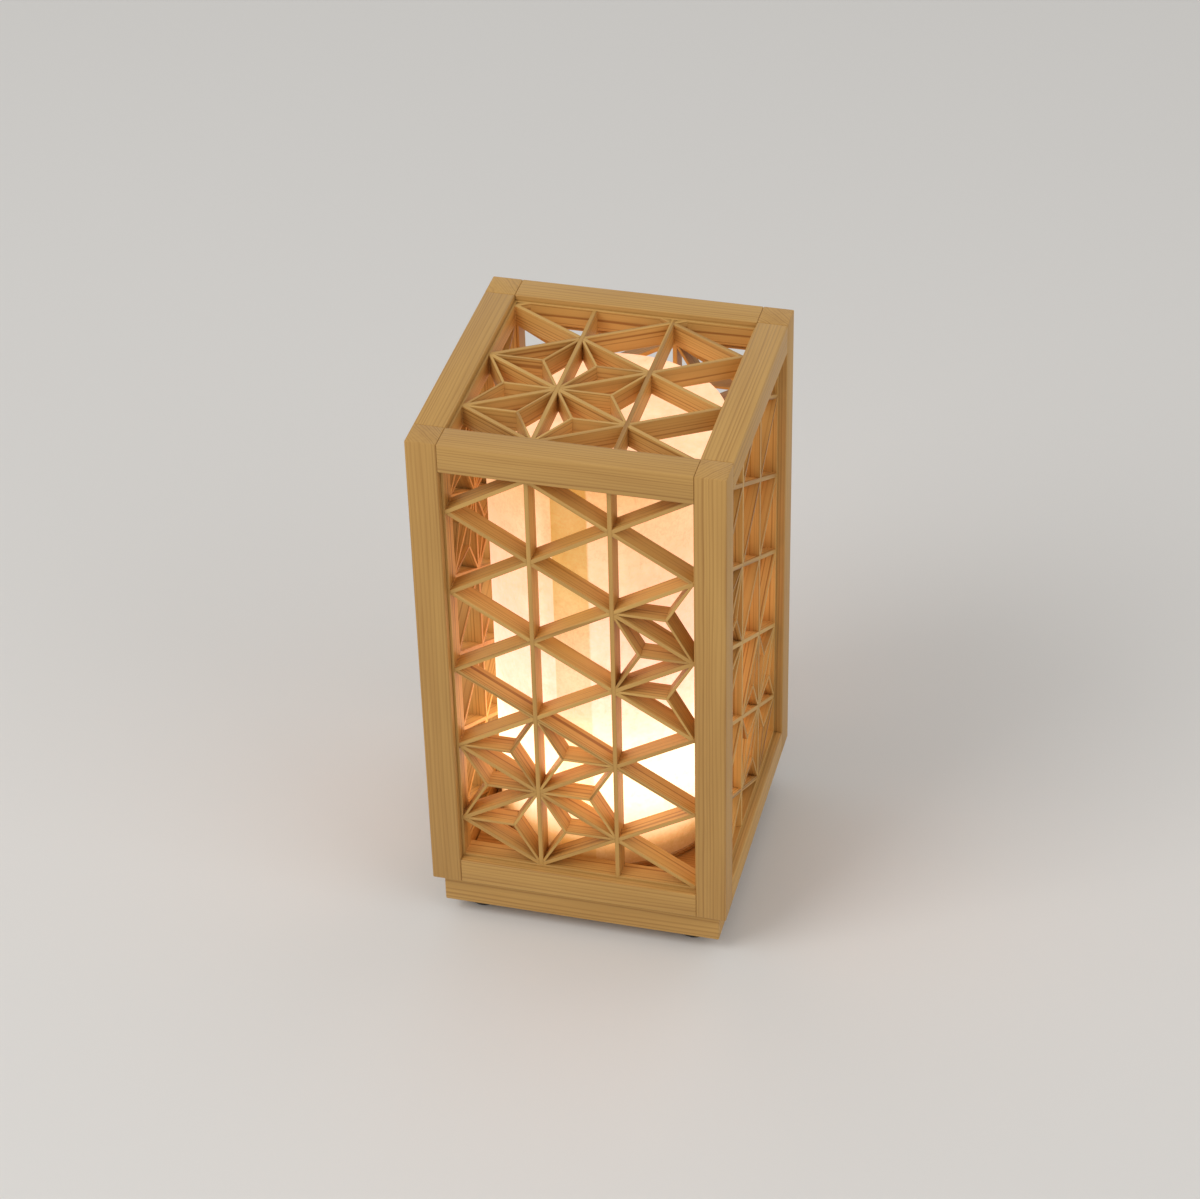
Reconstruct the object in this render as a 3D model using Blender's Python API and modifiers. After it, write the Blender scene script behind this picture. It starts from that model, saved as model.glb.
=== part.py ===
"""Kumiko table lamp.

A lift-off hood of hinoki posts and rails holds five panels of three-way kumiko lattice with asanoha leaves.
Under it a rolled washi shade stands over a small screw bulb, on a low base board with four feet.
Metres, +Z up, the front faces -Y, the origin is under the middle of the lamp at the level it stands on.
"""

import math

import bmesh
import bpy
from mathutils import Matrix, Vector

# Hood frame
FRAME_WIDTH = 0.150
FRAME_HEIGHT = 0.261
POST = 0.015
TOP_RAIL = 0.0152
BOTTOM_RAIL = 0.0138
ARRIS = 0.0005
TENON_THICKNESS = 0.004
TENON_SHOULDER = 0.003
TENON_WALL = 0.0008

# Kumiko panels
PANEL_RECESS = 0.0042
TOP_RECESS = 0.003
BORDER = 0.001
STRIP = 0.0021
LEAF = 0.0013
COLUMNS = 3
ROWS = 5

# Base board and feet
FOOT_HEIGHT = 0.009
FOOT_RADIUS = 0.009
FOOT_TAPER = 0.0012
FOOT_ROUND = 0.001
FOOT_INSET = 0.016
DOWEL_RADIUS = 0.004
DOWEL_LENGTH = 0.009
BASE_THICKNESS = 0.017
BASE_INSET = 0.0045
LOCATING_STEP = 0.006
LOCATING_CLEARANCE = 0.0004
GLAND_FLANGE_RADIUS = 0.0055
GLAND_FLANGE = 0.0015
GLAND_RADIUS = 0.0042
GLAND_DEPTH = 0.008
GLAND_SLOT = (0.006, 0.0034)

# Paper shade
SHADE_CLEARANCE = 0.002
HEAD_ROOM = 0.0108
PAPER = 0.0004
LAP_WIDTH = 0.018
LAP_CENTRE_DEG = -3.6
LAP_GAP = 0.0001
LAP_EASE_DEG = 12.0
RING_HEIGHT = 0.018
RING_WALL = 0.009
RING_FLANGE = 0.003
HOOP_HEIGHT = 0.006
HOOP_WALL = 0.0022

# Lampholder and bulb
HOLDER_FLANGE = 0.004
HOLDER_WALL = 0.0049
HOLDER_FLOOR = 0.006
HOLDER_LIP = 0.0015
RIM_CLEARANCE = 0.0013
SHELL_WALL = 0.0004
SHELL_LIP = 0.001
CONTACT_RADIUS = 0.004
CONTACT_HEIGHT = 0.0018
SCREW_RADIUS = 0.0014
SCREW_HEAD_RADIUS = 0.0028
SCREW_HEAD = 0.0018
SCREW_LENGTH = 0.014
SCREW_SLOT = (0.0008, 0.0007)
SCREW_MARGIN = 0.0004
CAP_RADIUS = 0.0083
CAP_HEIGHT = 0.0165
CAP_CONE = 0.003
TIP_RADIUS = 0.0025
TIP_HEIGHT = 0.0018
NECK_STEP = 0.0009
HOUSING_HEIGHT = 0.017
GLOBE_RADIUS = 0.0175
GLOBE_CUT = 0.011

# Fits between pieces
GAP = 0.0003
GLUE_GAP = 0.00025

# Facets of round pieces
FINE_STEPS = 72
ROUND_STEPS = 32
SMALL_STEPS = 20
CURVE_STEPS = 6
SMOOTH_ANGLE_DEG = 35.0

# Levels and widths that follow from the sizes above
BASE_TOP = FOOT_HEIGHT + BASE_THICKNESS
FRAME_BOTTOM = BASE_TOP + GAP
FRAME_TOP = FRAME_BOTTOM + FRAME_HEIGHT
OPENING = FRAME_WIDTH - 2 * POST
STRIP_DEPTH = POST - PANEL_RECESS
PLATFORM_TOP = BASE_TOP + LOCATING_STEP
LATTICE_MARGIN = BORDER + 2 * GLUE_GAP
LATTICE_WIDTH = OPENING - 2 * LATTICE_MARGIN
SIDE_LOW = FRAME_BOTTOM + BOTTOM_RAIL
SIDE_HIGH = FRAME_TOP - TOP_RAIL
COLUMN = LATTICE_WIDTH / COLUMNS
PITCH = (SIDE_HIGH - SIDE_LOW - 2 * LATTICE_MARGIN) / ROWS
TENON_LENGTH = (POST - TENON_THICKNESS) / 2 - 2 * GAP - TENON_WALL
SHADE_RADIUS = OPENING / 2 - SHADE_CLEARANCE
SHADE_TOP = FRAME_TOP - TOP_RECESS - STRIP_DEPTH - HEAD_ROOM
LAP_STEP = PAPER + LAP_GAP
SHEET_RADIUS = SHADE_RADIUS - LAP_STEP - PAPER / 2
SHEET_INNER = SHEET_RADIUS - PAPER / 2
RING_RADIUS = SHEET_INNER - GAP
RING_BOTTOM = PLATFORM_TOP + GAP
SHEET_BOTTOM = RING_BOTTOM + RING_FLANGE + GAP
DISC_BOTTOM = SHADE_TOP - PAPER
SHEET_TOP = DISC_BOTTOM - GAP
HOLDER_BOTTOM = PLATFORM_TOP + GAP
SHELL_RADIUS = CAP_RADIUS + GAP + SHELL_WALL
BORE_RADIUS = SHELL_RADIUS + GAP
HOLDER_RADIUS = BORE_RADIUS + HOLDER_WALL
SCREW_CIRCLE = HOLDER_RADIUS + SCREW_HEAD_RADIUS + SCREW_MARGIN
HOLDER_FLANGE_RADIUS = SCREW_CIRCLE + SCREW_HEAD_RADIUS + SCREW_MARGIN
SCREW_SEAT = HOLDER_BOTTOM + HOLDER_FLANGE + GAP
CONTACT_BOTTOM = HOLDER_BOTTOM + HOLDER_FLOOR + GAP
TIP_BOTTOM = CONTACT_BOTTOM + CONTACT_HEIGHT + GAP
CAP_BOTTOM = TIP_BOTTOM + TIP_HEIGHT + GAP
HOUSING_BOTTOM = CAP_BOTTOM + CAP_HEIGHT + GAP
HOLDER_RIM = HOUSING_BOTTOM - RIM_CLEARANCE
GLOBE_BOTTOM = HOUSING_BOTTOM + HOUSING_HEIGHT + GAP
GLOBE_SEAT_RADIUS = math.sqrt(GLOBE_RADIUS**2 - GLOBE_CUT**2)

# Panels: name, first column with nodes on whole pitches (0 or 1), and the nodes that carry a flower
SIDE_PANELS = (
    ("front", 1, ((1, 1), (3, 3))),
    ("right", 0, ((2, 1), (0, 3))),
    ("back", 1, ((1, 4),)),
    ("left", 0, ((2, 4),)),
)
TOP_FLOWERS = ((1, 1),)
POST_NAMES = ("post_front_left", "post_front_right", "post_back_right", "post_back_left")
FOOT_NAMES = ("foot_front_left", "foot_front_right", "foot_back_right", "foot_back_left")

# Name, colour, roughness and metallic value of each finish
FINISHES = {
    "hinoki": ((0.74, 0.55, 0.33), 0.55, 0.0),
    "kumiko_strip": ((0.80, 0.62, 0.38), 0.5, 0.0),
    "washi": ((0.93, 0.86, 0.72), 0.85, 0.0),
    "dark_rubber": ((0.03, 0.028, 0.026), 0.8, 0.0),
    "white_plastic": ((0.88, 0.87, 0.83), 0.3, 0.0),
    "nickel": ((0.72, 0.70, 0.66), 0.3, 1.0),
    "brass": ((0.78, 0.58, 0.27), 0.35, 1.0),
    "opal": ((0.95, 0.93, 0.88), 0.3, 0.0),
}


def clear_scene():
    for obj in list(bpy.data.objects):
        bpy.data.objects.remove(obj, do_unlink=True)


def new_collection(name):
    collection = bpy.data.collections.new(name)
    bpy.context.scene.collection.children.link(collection)
    return collection


def make_finishes():
    made = {}
    for name, (colour, roughness, metallic) in FINISHES.items():
        finish = bpy.data.materials.new(name)
        finish.use_nodes = True
        shader = finish.node_tree.nodes["Principled BSDF"]
        shader.inputs["Base Color"].default_value = (*colour, 1.0)
        shader.inputs["Roughness"].default_value = roughness
        shader.inputs["Metallic"].default_value = metallic
        made[name] = finish
    return made


def mesh_from(bm, name):
    """A mesh that takes the bmesh's shape and frees it."""
    mesh = bpy.data.meshes.new(name)
    bm.to_mesh(mesh)
    bm.free()
    return mesh


def add_node(name, mesh, finish, parent=None, turn=0.0):
    """A finished piece in the lamp's collection, turned about the lamp's axis."""
    obj = bpy.data.objects.new(name, mesh)
    LAMP.objects.link(obj)
    if not mesh.materials:
        mesh.materials.append(MATERIALS[finish])
    obj.rotation_euler.z = turn
    obj.parent = parent
    return obj


def add_cutter(name, mesh):
    obj = bpy.data.objects.new(name, mesh)
    CUTTERS.objects.link(obj)
    obj.hide_render = True
    obj.display_type = "WIRE"
    return obj


def box_mesh(name, low, high, arris=0.0, every_edge=False):
    """A box between two corners, with its edges along the longest side, or every edge, chamfered by arris."""
    low = Vector(low)
    size = Vector(high) - low
    bm = bmesh.new()
    bmesh.ops.create_cube(bm, size=1.0)
    bmesh.ops.scale(bm, vec=size, verts=bm.verts)
    bmesh.ops.translate(bm, vec=low + size / 2, verts=bm.verts)
    if arris:
        longest = max(range(3), key=lambda axis: size[axis])
        edges = []
        for edge in bm.edges:
            run = edge.verts[1].co - edge.verts[0].co
            if every_edge or abs(run[longest]) > size[longest] / 2:
                edges.append(edge)
        bmesh.ops.bevel(bm, geom=edges, offset=arris, segments=1, affect="EDGES")
    return mesh_from(bm, name)


def turned_mesh(name, profile, steps=ROUND_STEPS, centre=(0.0, 0.0)):
    """A profile of (radius, height) points, down the outer side, turned about an upright axis.

    A profile that starts off the axis is a closed loop, which makes a ring.
    """
    mesh = bpy.data.meshes.new(name)
    count = len(profile)
    edges = [(i, i + 1) for i in range(count - 1)]
    if profile[0][0] > 0:
        edges.append((count - 1, 0))
    mesh.from_pydata([(radius, 0.0, height) for radius, height in profile], edges, [])
    blank = add_cutter(name + "_profile", mesh)
    screw = blank.modifiers.new("turn", "SCREW")
    screw.steps = steps
    screw.render_steps = steps
    screw.use_merge_vertices = True
    screw.merge_threshold = 1e-6
    turned = baked(blank)
    turned.transform(Matrix.Translation((*centre, 0.0)))
    turned.shade_smooth()
    turned.set_sharp_from_angle(angle=math.radians(SMOOTH_ANGLE_DEG))
    return turned


def baked(obj):
    """The mesh that an object's modifiers make; the object itself is removed."""
    bpy.context.view_layer.update()
    graph = bpy.context.evaluated_depsgraph_get()
    mesh = bpy.data.meshes.new_from_object(obj.evaluated_get(graph))
    mesh.name = obj.name
    bpy.data.objects.remove(obj, do_unlink=True)
    return mesh


def combined_mesh(mesh, operation, others, self_crossing=False):
    """A mesh cut by, joined with or trimmed to each of the other meshes in turn."""
    blank = add_cutter(mesh.name + "_blank", mesh)
    tools = [add_cutter(f"{mesh.name}_tool_{i}", other) for i, other in enumerate(others)]
    for tool in tools:
        boolean = blank.modifiers.new(tool.name, "BOOLEAN")
        boolean.operation = operation
        boolean.object = tool
        boolean.use_self = self_crossing
    result = baked(blank)
    for tool in tools:
        bpy.data.objects.remove(tool, do_unlink=True)
    return result


def quarter_turns():
    return [i * math.pi / 2 for i in range(4)]


def tenon_box(name, low_z, high_z, grow):
    """The front rail's left tenon, or with grow its mortise, in the front left post."""
    shoulder_x = -OPENING / 2
    middle_y = -FRAME_WIDTH / 2 + POST / 2
    half = TENON_THICKNESS / 2 + grow
    low = (shoulder_x - TENON_LENGTH - grow, middle_y - half, low_z + TENON_SHOULDER - grow)
    high = (shoulder_x + POST / 2, middle_y + half, high_z - TENON_SHOULDER + grow)
    return box_mesh(name, low, high)


def mirrored(mesh, name, matrix):
    """A copy of a mesh moved by a matrix that swaps sides, with its faces turned out again."""
    copy = mesh.copy()
    copy.name = name
    copy.transform(matrix)
    copy.flip_normals()
    return copy


def make_posts(hood):
    half = FRAME_WIDTH / 2
    low = (-half, -half, FRAME_BOTTOM)
    high = (-half + POST, -half + POST, FRAME_TOP)
    post = box_mesh("post", low, high, ARRIS, every_edge=True)
    across = Matrix(((0, 1, 0, 0), (1, 0, 0, 0), (0, 0, 1, 0), (0, 0, 0, 1)))
    mortises = []
    for level, low_z, high_z in (
        ("bottom", FRAME_BOTTOM, SIDE_LOW),
        ("top", SIDE_HIGH, FRAME_TOP),
    ):
        front = tenon_box(level + "_mortise", low_z, high_z, GAP)
        mortises += [front, mirrored(front, level + "_side_mortise", across)]
    post = combined_mesh(post, "DIFFERENCE", mortises)
    for name, turn in zip(POST_NAMES, quarter_turns()):
        add_node(name, post, "hinoki", hood, turn)


def make_rails(hood):
    half = FRAME_WIDTH / 2
    reach = OPENING / 2 - GAP
    flip = Matrix.Scale(-1, 4, (1, 0, 0))
    for level, low_z, high_z in (
        ("bottom", FRAME_BOTTOM, SIDE_LOW),
        ("top", SIDE_HIGH, FRAME_TOP),
    ):
        rail = box_mesh(level + "_rail", (-reach, -half, low_z), (reach, -half + POST, high_z), ARRIS)
        tenon = tenon_box(level + "_tenon", low_z, high_z, 0.0)
        rail = combined_mesh(rail, "UNION", [tenon, mirrored(tenon, level + "_far_tenon", flip)])
        for (side, _, _), turn in zip(SIDE_PANELS, quarter_turns()):
            add_node(f"{level}_rail_{side}", rail, "hinoki", hood, turn)


def neighbours(column, row):
    """The six lattice nodes round a node, in order, as (column, row in pitches)."""
    return (
        (column, row + 1),
        (column + 1, row + 0.5),
        (column + 1, row - 0.5),
        (column, row - 1),
        (column - 1, row - 0.5),
        (column - 1, row + 0.5),
    )


class Layout:
    """The strips of one lattice, drawn in its own plane: x across, z up, y into the lamp."""

    def __init__(self, low_z, high_z, whole_column):
        self.low_z = low_z
        self.rows = (high_z - low_z) / PITCH
        self.whole_column = whole_column
        self.strips = bmesh.new()

    def point(self, column, row):
        return Vector((column * COLUMN - LATTICE_WIDTH / 2, 0.0, self.low_z + row * PITCH))

    def add_strip(self, start, end, thickness, over):
        """A strip between two points, longer by over at each end and deeper than the panel."""
        run = end - start
        angle = math.atan2(run.z, run.x)
        size = (run.length + 2 * over, 2 * STRIP_DEPTH, thickness, 1.0)
        place = Matrix.Translation((start + end) / 2) @ Matrix.Rotation(-angle, 4, "Y")
        bmesh.ops.create_cube(self.strips, size=1.0, matrix=place @ Matrix.Diagonal(size))

    def add_uprights(self):
        for column in range(1, COLUMNS):
            self.add_strip(self.point(column, 0), self.point(column, self.rows), STRIP, STRIP)

    def add_diagonals(self, slope):
        """The strips that climb, or fall, by half a pitch in each column."""
        half_start = 0.0 if self.whole_column == 0 else 0.5
        reach = COLUMNS + math.ceil(self.rows)
        for step in range(-reach, reach):
            start = step + half_start
            inside = sorted((-start / slope, (self.rows - start) / slope))
            first = max(0.0, inside[0])
            last = min(float(COLUMNS), inside[1])
            if last - first > 0.1:
                low = self.point(first, start + slope * first)
                high = self.point(last, start + slope * last)
                self.add_strip(low, high, STRIP, 2 * STRIP)

    def add_flower(self, column, row):
        """Three leaves in each whole triangle round a node, from its middle to its corners."""
        around = neighbours(column, row)
        over = LEAF / 2 * math.tan(math.pi / 6)
        for i, first in enumerate(around):
            corners = (first, around[(i + 1) % len(around)], (column, row))
            if all(0 <= c <= COLUMNS and 0 <= r <= self.rows for c, r in corners):
                points = [self.point(*corner) for corner in corners]
                middle = sum(points, Vector()) / len(points)
                for corner in points:
                    self.add_strip(middle, corner, LEAF, over)

    def mesh(self, name, middle_y):
        bmesh.ops.translate(self.strips, vec=(0, middle_y, 0), verts=self.strips.verts)
        return mesh_from(self.strips, name)


def lattice_mesh(name, low_z, high_z, outer_y, whole_column, flowers):
    """A panel blank trimmed to the crossing strips and leaves of its layout."""
    half = LATTICE_WIDTH / 2
    blank = box_mesh(name, (-half, outer_y, low_z), (half, outer_y + STRIP_DEPTH, high_z))
    layout = Layout(low_z, high_z, whole_column)
    layout.add_uprights()
    for slope in (0.5, -0.5):
        layout.add_diagonals(slope)
    for column, row in flowers:
        layout.add_flower(column, row)
    strips = layout.mesh(name + "_strips", outer_y + STRIP_DEPTH / 2)
    return combined_mesh(blank, "INTERSECT", [strips], self_crossing=True)


def border_meshes(low_z, high_z, outer_y):
    """The four thin strips that line an opening: two uprights and the two between them."""
    edge = OPENING / 2 - GLUE_GAP
    inner = edge - BORDER
    bottom = low_z + GLUE_GAP
    top = high_z - GLUE_GAP
    deep = outer_y + STRIP_DEPTH
    between = inner - GLUE_GAP
    return {
        "left": box_mesh("border", (-edge, outer_y, bottom), (-inner, deep, top)),
        "right": box_mesh("border", (inner, outer_y, bottom), (edge, deep, top)),
        "bottom": box_mesh("border", (-between, outer_y, bottom), (between, deep, bottom + BORDER)),
        "top": box_mesh("border", (-between, outer_y, top - BORDER), (between, deep, top)),
    }


def make_panel(side, hood, low_z, high_z, outer_y, whole_column, flowers):
    """The lattice and border strips of one opening, as objects ready to be turned into place."""
    margin = LATTICE_MARGIN
    lattice = lattice_mesh("lattice_" + side, low_z + margin, high_z - margin, outer_y, whole_column, flowers)
    pieces = [add_node("lattice_" + side, lattice, "kumiko_strip", hood)]
    for edge, mesh in border_meshes(low_z, high_z, outer_y).items():
        pieces.append(add_node(f"border_{side}_{edge}", mesh, "kumiko_strip", hood))
    return pieces


def make_panels(hood):
    side_y = -FRAME_WIDTH / 2 + PANEL_RECESS
    for (side, whole_column, flowers), turn in zip(SIDE_PANELS, quarter_turns()):
        for piece in make_panel(side, hood, SIDE_LOW, SIDE_HIGH, side_y, whole_column, flowers):
            piece.rotation_euler.z = turn
    half = OPENING / 2
    for piece in make_panel("top", hood, -half, half, TOP_RECESS, 1, TOP_FLOWERS):
        piece.rotation_euler.x = -math.pi / 2
        piece.location.z = FRAME_TOP


def foot_centre():
    return FRAME_WIDTH / 2 - BASE_INSET - FOOT_INSET


def screw_places():
    return [(side * SCREW_CIRCLE, 0.0) for side in (-1, 1)]


def screw_holes(low, high):
    """Clearance holes for the lampholder's screws between two heights."""
    radius = SCREW_RADIUS + GAP
    return [disc_mesh("screw_hole", radius, low, high, SMALL_STEPS, place) for place in screw_places()]


def make_base():
    """The base board with holes for its feet, screws and gland, and the panel that the hood fits round."""
    half = FRAME_WIDTH / 2 - BASE_INSET
    board = box_mesh("base_board", (-half, -half, FOOT_HEIGHT), (half, half, BASE_TOP), ARRIS, True)
    holes = screw_holes(SCREW_SEAT - SCREW_LENGTH - GAP, BASE_TOP + GAP)
    deep = FOOT_HEIGHT + DOWEL_LENGTH + GAP
    foot = foot_centre()
    for place in ((-foot, -foot), (foot, -foot), (foot, foot), (-foot, foot)):
        holes.append(disc_mesh("dowel_hole", DOWEL_RADIUS + GAP, -GAP, deep, SMALL_STEPS, place))
    gland_hole = disc_mesh("gland_hole", GLAND_RADIUS + GAP, -GLAND_FLANGE, GLAND_DEPTH + GAP, SMALL_STEPS)
    gland_hole.transform(gland_place())
    holes.append(gland_hole)
    board = combined_mesh(board, "DIFFERENCE", holes)
    add_node("base_board", board, "hinoki")

    step = OPENING / 2 - LOCATING_CLEARANCE
    low = BASE_TOP + GAP
    panel = box_mesh("locating_panel", (-step, -step, low), (step, step, PLATFORM_TOP), ARRIS, True)
    panel = combined_mesh(panel, "DIFFERENCE", screw_holes(low - GAP, PLATFORM_TOP + GAP))
    add_node("locating_panel", panel, "hinoki")


def disc_mesh(name, radius, low, high, steps, centre=(0.0, 0.0)):
    """A plain turned cylinder between two heights."""
    return turned_mesh(name, ((0.0, high), (radius, high), (radius, low), (0.0, low)), steps, centre)


def make_feet():
    top = FOOT_HEIGHT - GAP
    profile = (
        (0.0, FOOT_HEIGHT + DOWEL_LENGTH),
        (DOWEL_RADIUS, FOOT_HEIGHT + DOWEL_LENGTH),
        (DOWEL_RADIUS, top),
        (FOOT_RADIUS, top),
        (FOOT_RADIUS - FOOT_TAPER, FOOT_ROUND),
        (FOOT_RADIUS - FOOT_TAPER - FOOT_ROUND, 0.0),
        (0.0, 0.0),
    )
    foot = turned_mesh("foot", profile, ROUND_STEPS, (-foot_centre(), -foot_centre()))
    for name, turn in zip(FOOT_NAMES, quarter_turns()):
        add_node(name, foot, "dark_rubber", None, turn)


def gland_place():
    """The gland's place: its axis level, its flange on the back face of the base board."""
    back = FRAME_WIDTH / 2 - BASE_INSET
    level = FOOT_HEIGHT + BASE_THICKNESS / 2
    return Matrix.Translation((0, back, level)) @ Matrix.Rotation(math.pi / 2, 4, "X")


def make_gland():
    """A flanged bushing with a slot for a flat twin flex."""
    profile = (
        (0.0, GLAND_DEPTH),
        (GLAND_RADIUS, GLAND_DEPTH),
        (GLAND_RADIUS, -GAP),
        (GLAND_FLANGE_RADIUS, -GAP),
        (GLAND_FLANGE_RADIUS, -GLAND_FLANGE),
        (0.0, -GLAND_FLANGE),
    )
    gland = turned_mesh("cord_gland", profile, SMALL_STEPS)
    wide, high = GLAND_SLOT
    slot = box_mesh("slot", (-wide / 2, -high / 2, -2 * GLAND_FLANGE), (wide / 2, high / 2, 2 * GLAND_DEPTH))
    gland = combined_mesh(gland, "DIFFERENCE", [slot])
    gland.transform(gland_place())
    add_node("cord_gland", gland, "dark_rubber")


def ring_profile(outer, inner, low, high):
    return ((inner, high), (outer, high), (outer, low), (inner, low))


def make_shade_ring():
    """The turned ring that the paper slides over, with a flange under the paper's edge."""
    inner = RING_RADIUS - RING_WALL
    flange_top = RING_BOTTOM + RING_FLANGE
    profile = (
        (inner, RING_BOTTOM + RING_HEIGHT),
        (RING_RADIUS, RING_BOTTOM + RING_HEIGHT),
        (RING_RADIUS, flange_top),
        (SHADE_RADIUS, flange_top),
        (SHADE_RADIUS, RING_BOTTOM),
        (inner, RING_BOTTOM),
    )
    add_node("shade_ring", turned_mesh("shade_ring", profile, FINE_STEPS), "hinoki")


def make_paper_tube():
    """A rolled sheet whose outer end laps over its inner end at the front."""
    lap = LAP_WIDTH / SHADE_RADIUS
    ease = math.radians(LAP_EASE_DEG)
    start = math.radians(LAP_CENTRE_DEG) - lap / 2
    turn = 2 * math.pi
    lap_steps = math.ceil(lap / turn * FINE_STEPS)
    steps = math.ceil((turn - lap) / turn * FINE_STEPS)
    marks = [lap * i / lap_steps for i in range(lap_steps)]
    marks += [lap + (turn - lap) * i / steps for i in range(steps)]
    marks += [turn + lap * i / lap_steps for i in range(lap_steps + 1)]
    bm = bmesh.new()
    edge = []
    for along in marks:
        lift = LAP_STEP * min(1.0, max(0.0, 1.0 - (along - lap) / ease))
        radius = SHEET_RADIUS + lift
        angle = start + along
        edge.append(bm.verts.new((radius * math.sin(angle), -radius * math.cos(angle), SHEET_BOTTOM)))
    seams = [bm.edges.new(pair) for pair in zip(edge, edge[1:])]
    raised = bmesh.ops.extrude_edge_only(bm, edges=seams)["geom"]
    tops = [item for item in raised if isinstance(item, bmesh.types.BMVert)]
    bmesh.ops.translate(bm, vec=(0, 0, SHEET_TOP - SHEET_BOTTOM), verts=tops)
    sheet = add_cutter("paper_sheet", mesh_from(bm, "paper_sheet"))
    wall = sheet.modifiers.new("paper", "SOLIDIFY")
    wall.thickness = PAPER
    wall.offset = 0.0
    tube = baked(sheet)
    tube.shade_smooth()
    tube.set_sharp_from_angle(angle=math.radians(SMOOTH_ANGLE_DEG))
    add_node("paper_tube", tube, "washi")


def make_paper_top():
    disc = disc_mesh("paper_top", SHADE_RADIUS, DISC_BOTTOM, SHADE_TOP, FINE_STEPS)
    add_node("paper_top", disc, "washi")
    inner = RING_RADIUS - HOOP_WALL
    profile = ring_profile(RING_RADIUS, inner, SHEET_TOP - HOOP_HEIGHT, SHEET_TOP)
    add_node("shade_hoop", turned_mesh("shade_hoop", profile, FINE_STEPS), "hinoki")


def make_lampholder():
    flange_top = HOLDER_BOTTOM + HOLDER_FLANGE
    profile = (
        (0.0, HOLDER_BOTTOM + HOLDER_FLOOR),
        (BORE_RADIUS, HOLDER_BOTTOM + HOLDER_FLOOR),
        (BORE_RADIUS, HOLDER_RIM),
        (HOLDER_RADIUS - HOLDER_LIP, HOLDER_RIM),
        (HOLDER_RADIUS, HOLDER_RIM - HOLDER_LIP),
        (HOLDER_RADIUS, flange_top),
        (HOLDER_FLANGE_RADIUS, flange_top),
        (HOLDER_FLANGE_RADIUS, HOLDER_BOTTOM),
        (0.0, HOLDER_BOTTOM),
    )
    body = turned_mesh("lampholder_body", profile)
    body = combined_mesh(body, "DIFFERENCE", screw_holes(HOLDER_BOTTOM - GAP, flange_top + GAP))
    add_node("lampholder_body", body, "white_plastic")

    low = HOLDER_BOTTOM + HOLDER_FLOOR + GAP
    inner = SHELL_RADIUS - SHELL_WALL
    shell = ring_profile(SHELL_RADIUS, inner, low, HOLDER_RIM - SHELL_LIP)
    add_node("screw_shell", turned_mesh("screw_shell", shell), "nickel")
    high = CONTACT_BOTTOM + CONTACT_HEIGHT
    contact = disc_mesh("centre_contact", CONTACT_RADIUS, CONTACT_BOTTOM, high, SMALL_STEPS)
    add_node("centre_contact", contact, "brass")


def make_holder_screws():
    """Slotted round-head screws through the lampholder's flange into the board."""
    seat = SCREW_SEAT
    top = seat + SCREW_HEAD
    width, depth = SCREW_SLOT
    for name, place in zip(("holder_screw_left", "holder_screw_right"), screw_places()):
        profile = (
            (0.0, top),
            (SCREW_HEAD_RADIUS * 0.7, top - SCREW_HEAD * 0.12),
            (SCREW_HEAD_RADIUS, seat + SCREW_HEAD * 0.3),
            (SCREW_HEAD_RADIUS, seat),
            (SCREW_RADIUS, seat),
            (SCREW_RADIUS, seat - SCREW_LENGTH + SCREW_RADIUS),
            (0.0, seat - SCREW_LENGTH),
        )
        screw = turned_mesh(name, profile, SMALL_STEPS, place)
        x, y = place
        slot_low = (x - width / 2, y - 2 * SCREW_HEAD_RADIUS, top - depth)
        slot = box_mesh("slot", slot_low, (x + width / 2, y + 2 * SCREW_HEAD_RADIUS, top + depth))
        add_node(name, combined_mesh(screw, "DIFFERENCE", [slot]), "nickel")


def make_bulb(bulb):
    cap = (
        (0.0, CAP_BOTTOM + CAP_HEIGHT),
        (CAP_RADIUS, CAP_BOTTOM + CAP_HEIGHT),
        (CAP_RADIUS, CAP_BOTTOM + CAP_CONE),
        (CAP_RADIUS - CAP_CONE, CAP_BOTTOM),
        (0.0, CAP_BOTTOM),
    )
    add_node("bulb_cap", turned_mesh("bulb_cap", cap), "nickel", bulb)
    tip = disc_mesh("bulb_tip", TIP_RADIUS, TIP_BOTTOM, TIP_BOTTOM + TIP_HEIGHT, SMALL_STEPS)
    add_node("bulb_tip", tip, "brass", bulb)

    flare = HOUSING_BOTTOM + HOUSING_HEIGHT
    neck = CAP_RADIUS + NECK_STEP
    housing = [(0.0, flare), (GLOBE_SEAT_RADIUS, flare)]
    for i in range(1, CURVE_STEPS + 1):
        share = i / CURVE_STEPS
        radius = GLOBE_SEAT_RADIUS + (neck - GLOBE_SEAT_RADIUS) * math.sin(share * math.pi / 2)
        housing.append((radius, flare - share * HOUSING_HEIGHT))
    housing.append((0.0, HOUSING_BOTTOM))
    add_node("bulb_housing", turned_mesh("bulb_housing", housing), "opal", bulb)

    lowest = -math.asin(GLOBE_CUT / GLOBE_RADIUS)
    centre = GLOBE_BOTTOM + GLOBE_CUT
    globe = [(0.0, centre + GLOBE_RADIUS)]
    arc_steps = 2 * CURVE_STEPS
    for i in range(1, arc_steps + 1):
        angle = math.pi / 2 + (lowest - math.pi / 2) * i / arc_steps
        globe.append((GLOBE_RADIUS * math.cos(angle), centre + GLOBE_RADIUS * math.sin(angle)))
    globe.append((0.0, GLOBE_BOTTOM))
    add_node("bulb_globe", turned_mesh("bulb_globe", globe), "opal", bulb)


def add_axis(name):
    """An empty on the lamp's upright axis, which a moving body hangs on."""
    axis = bpy.data.objects.new(name, None)
    LAMP.objects.link(axis)
    return axis


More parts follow.
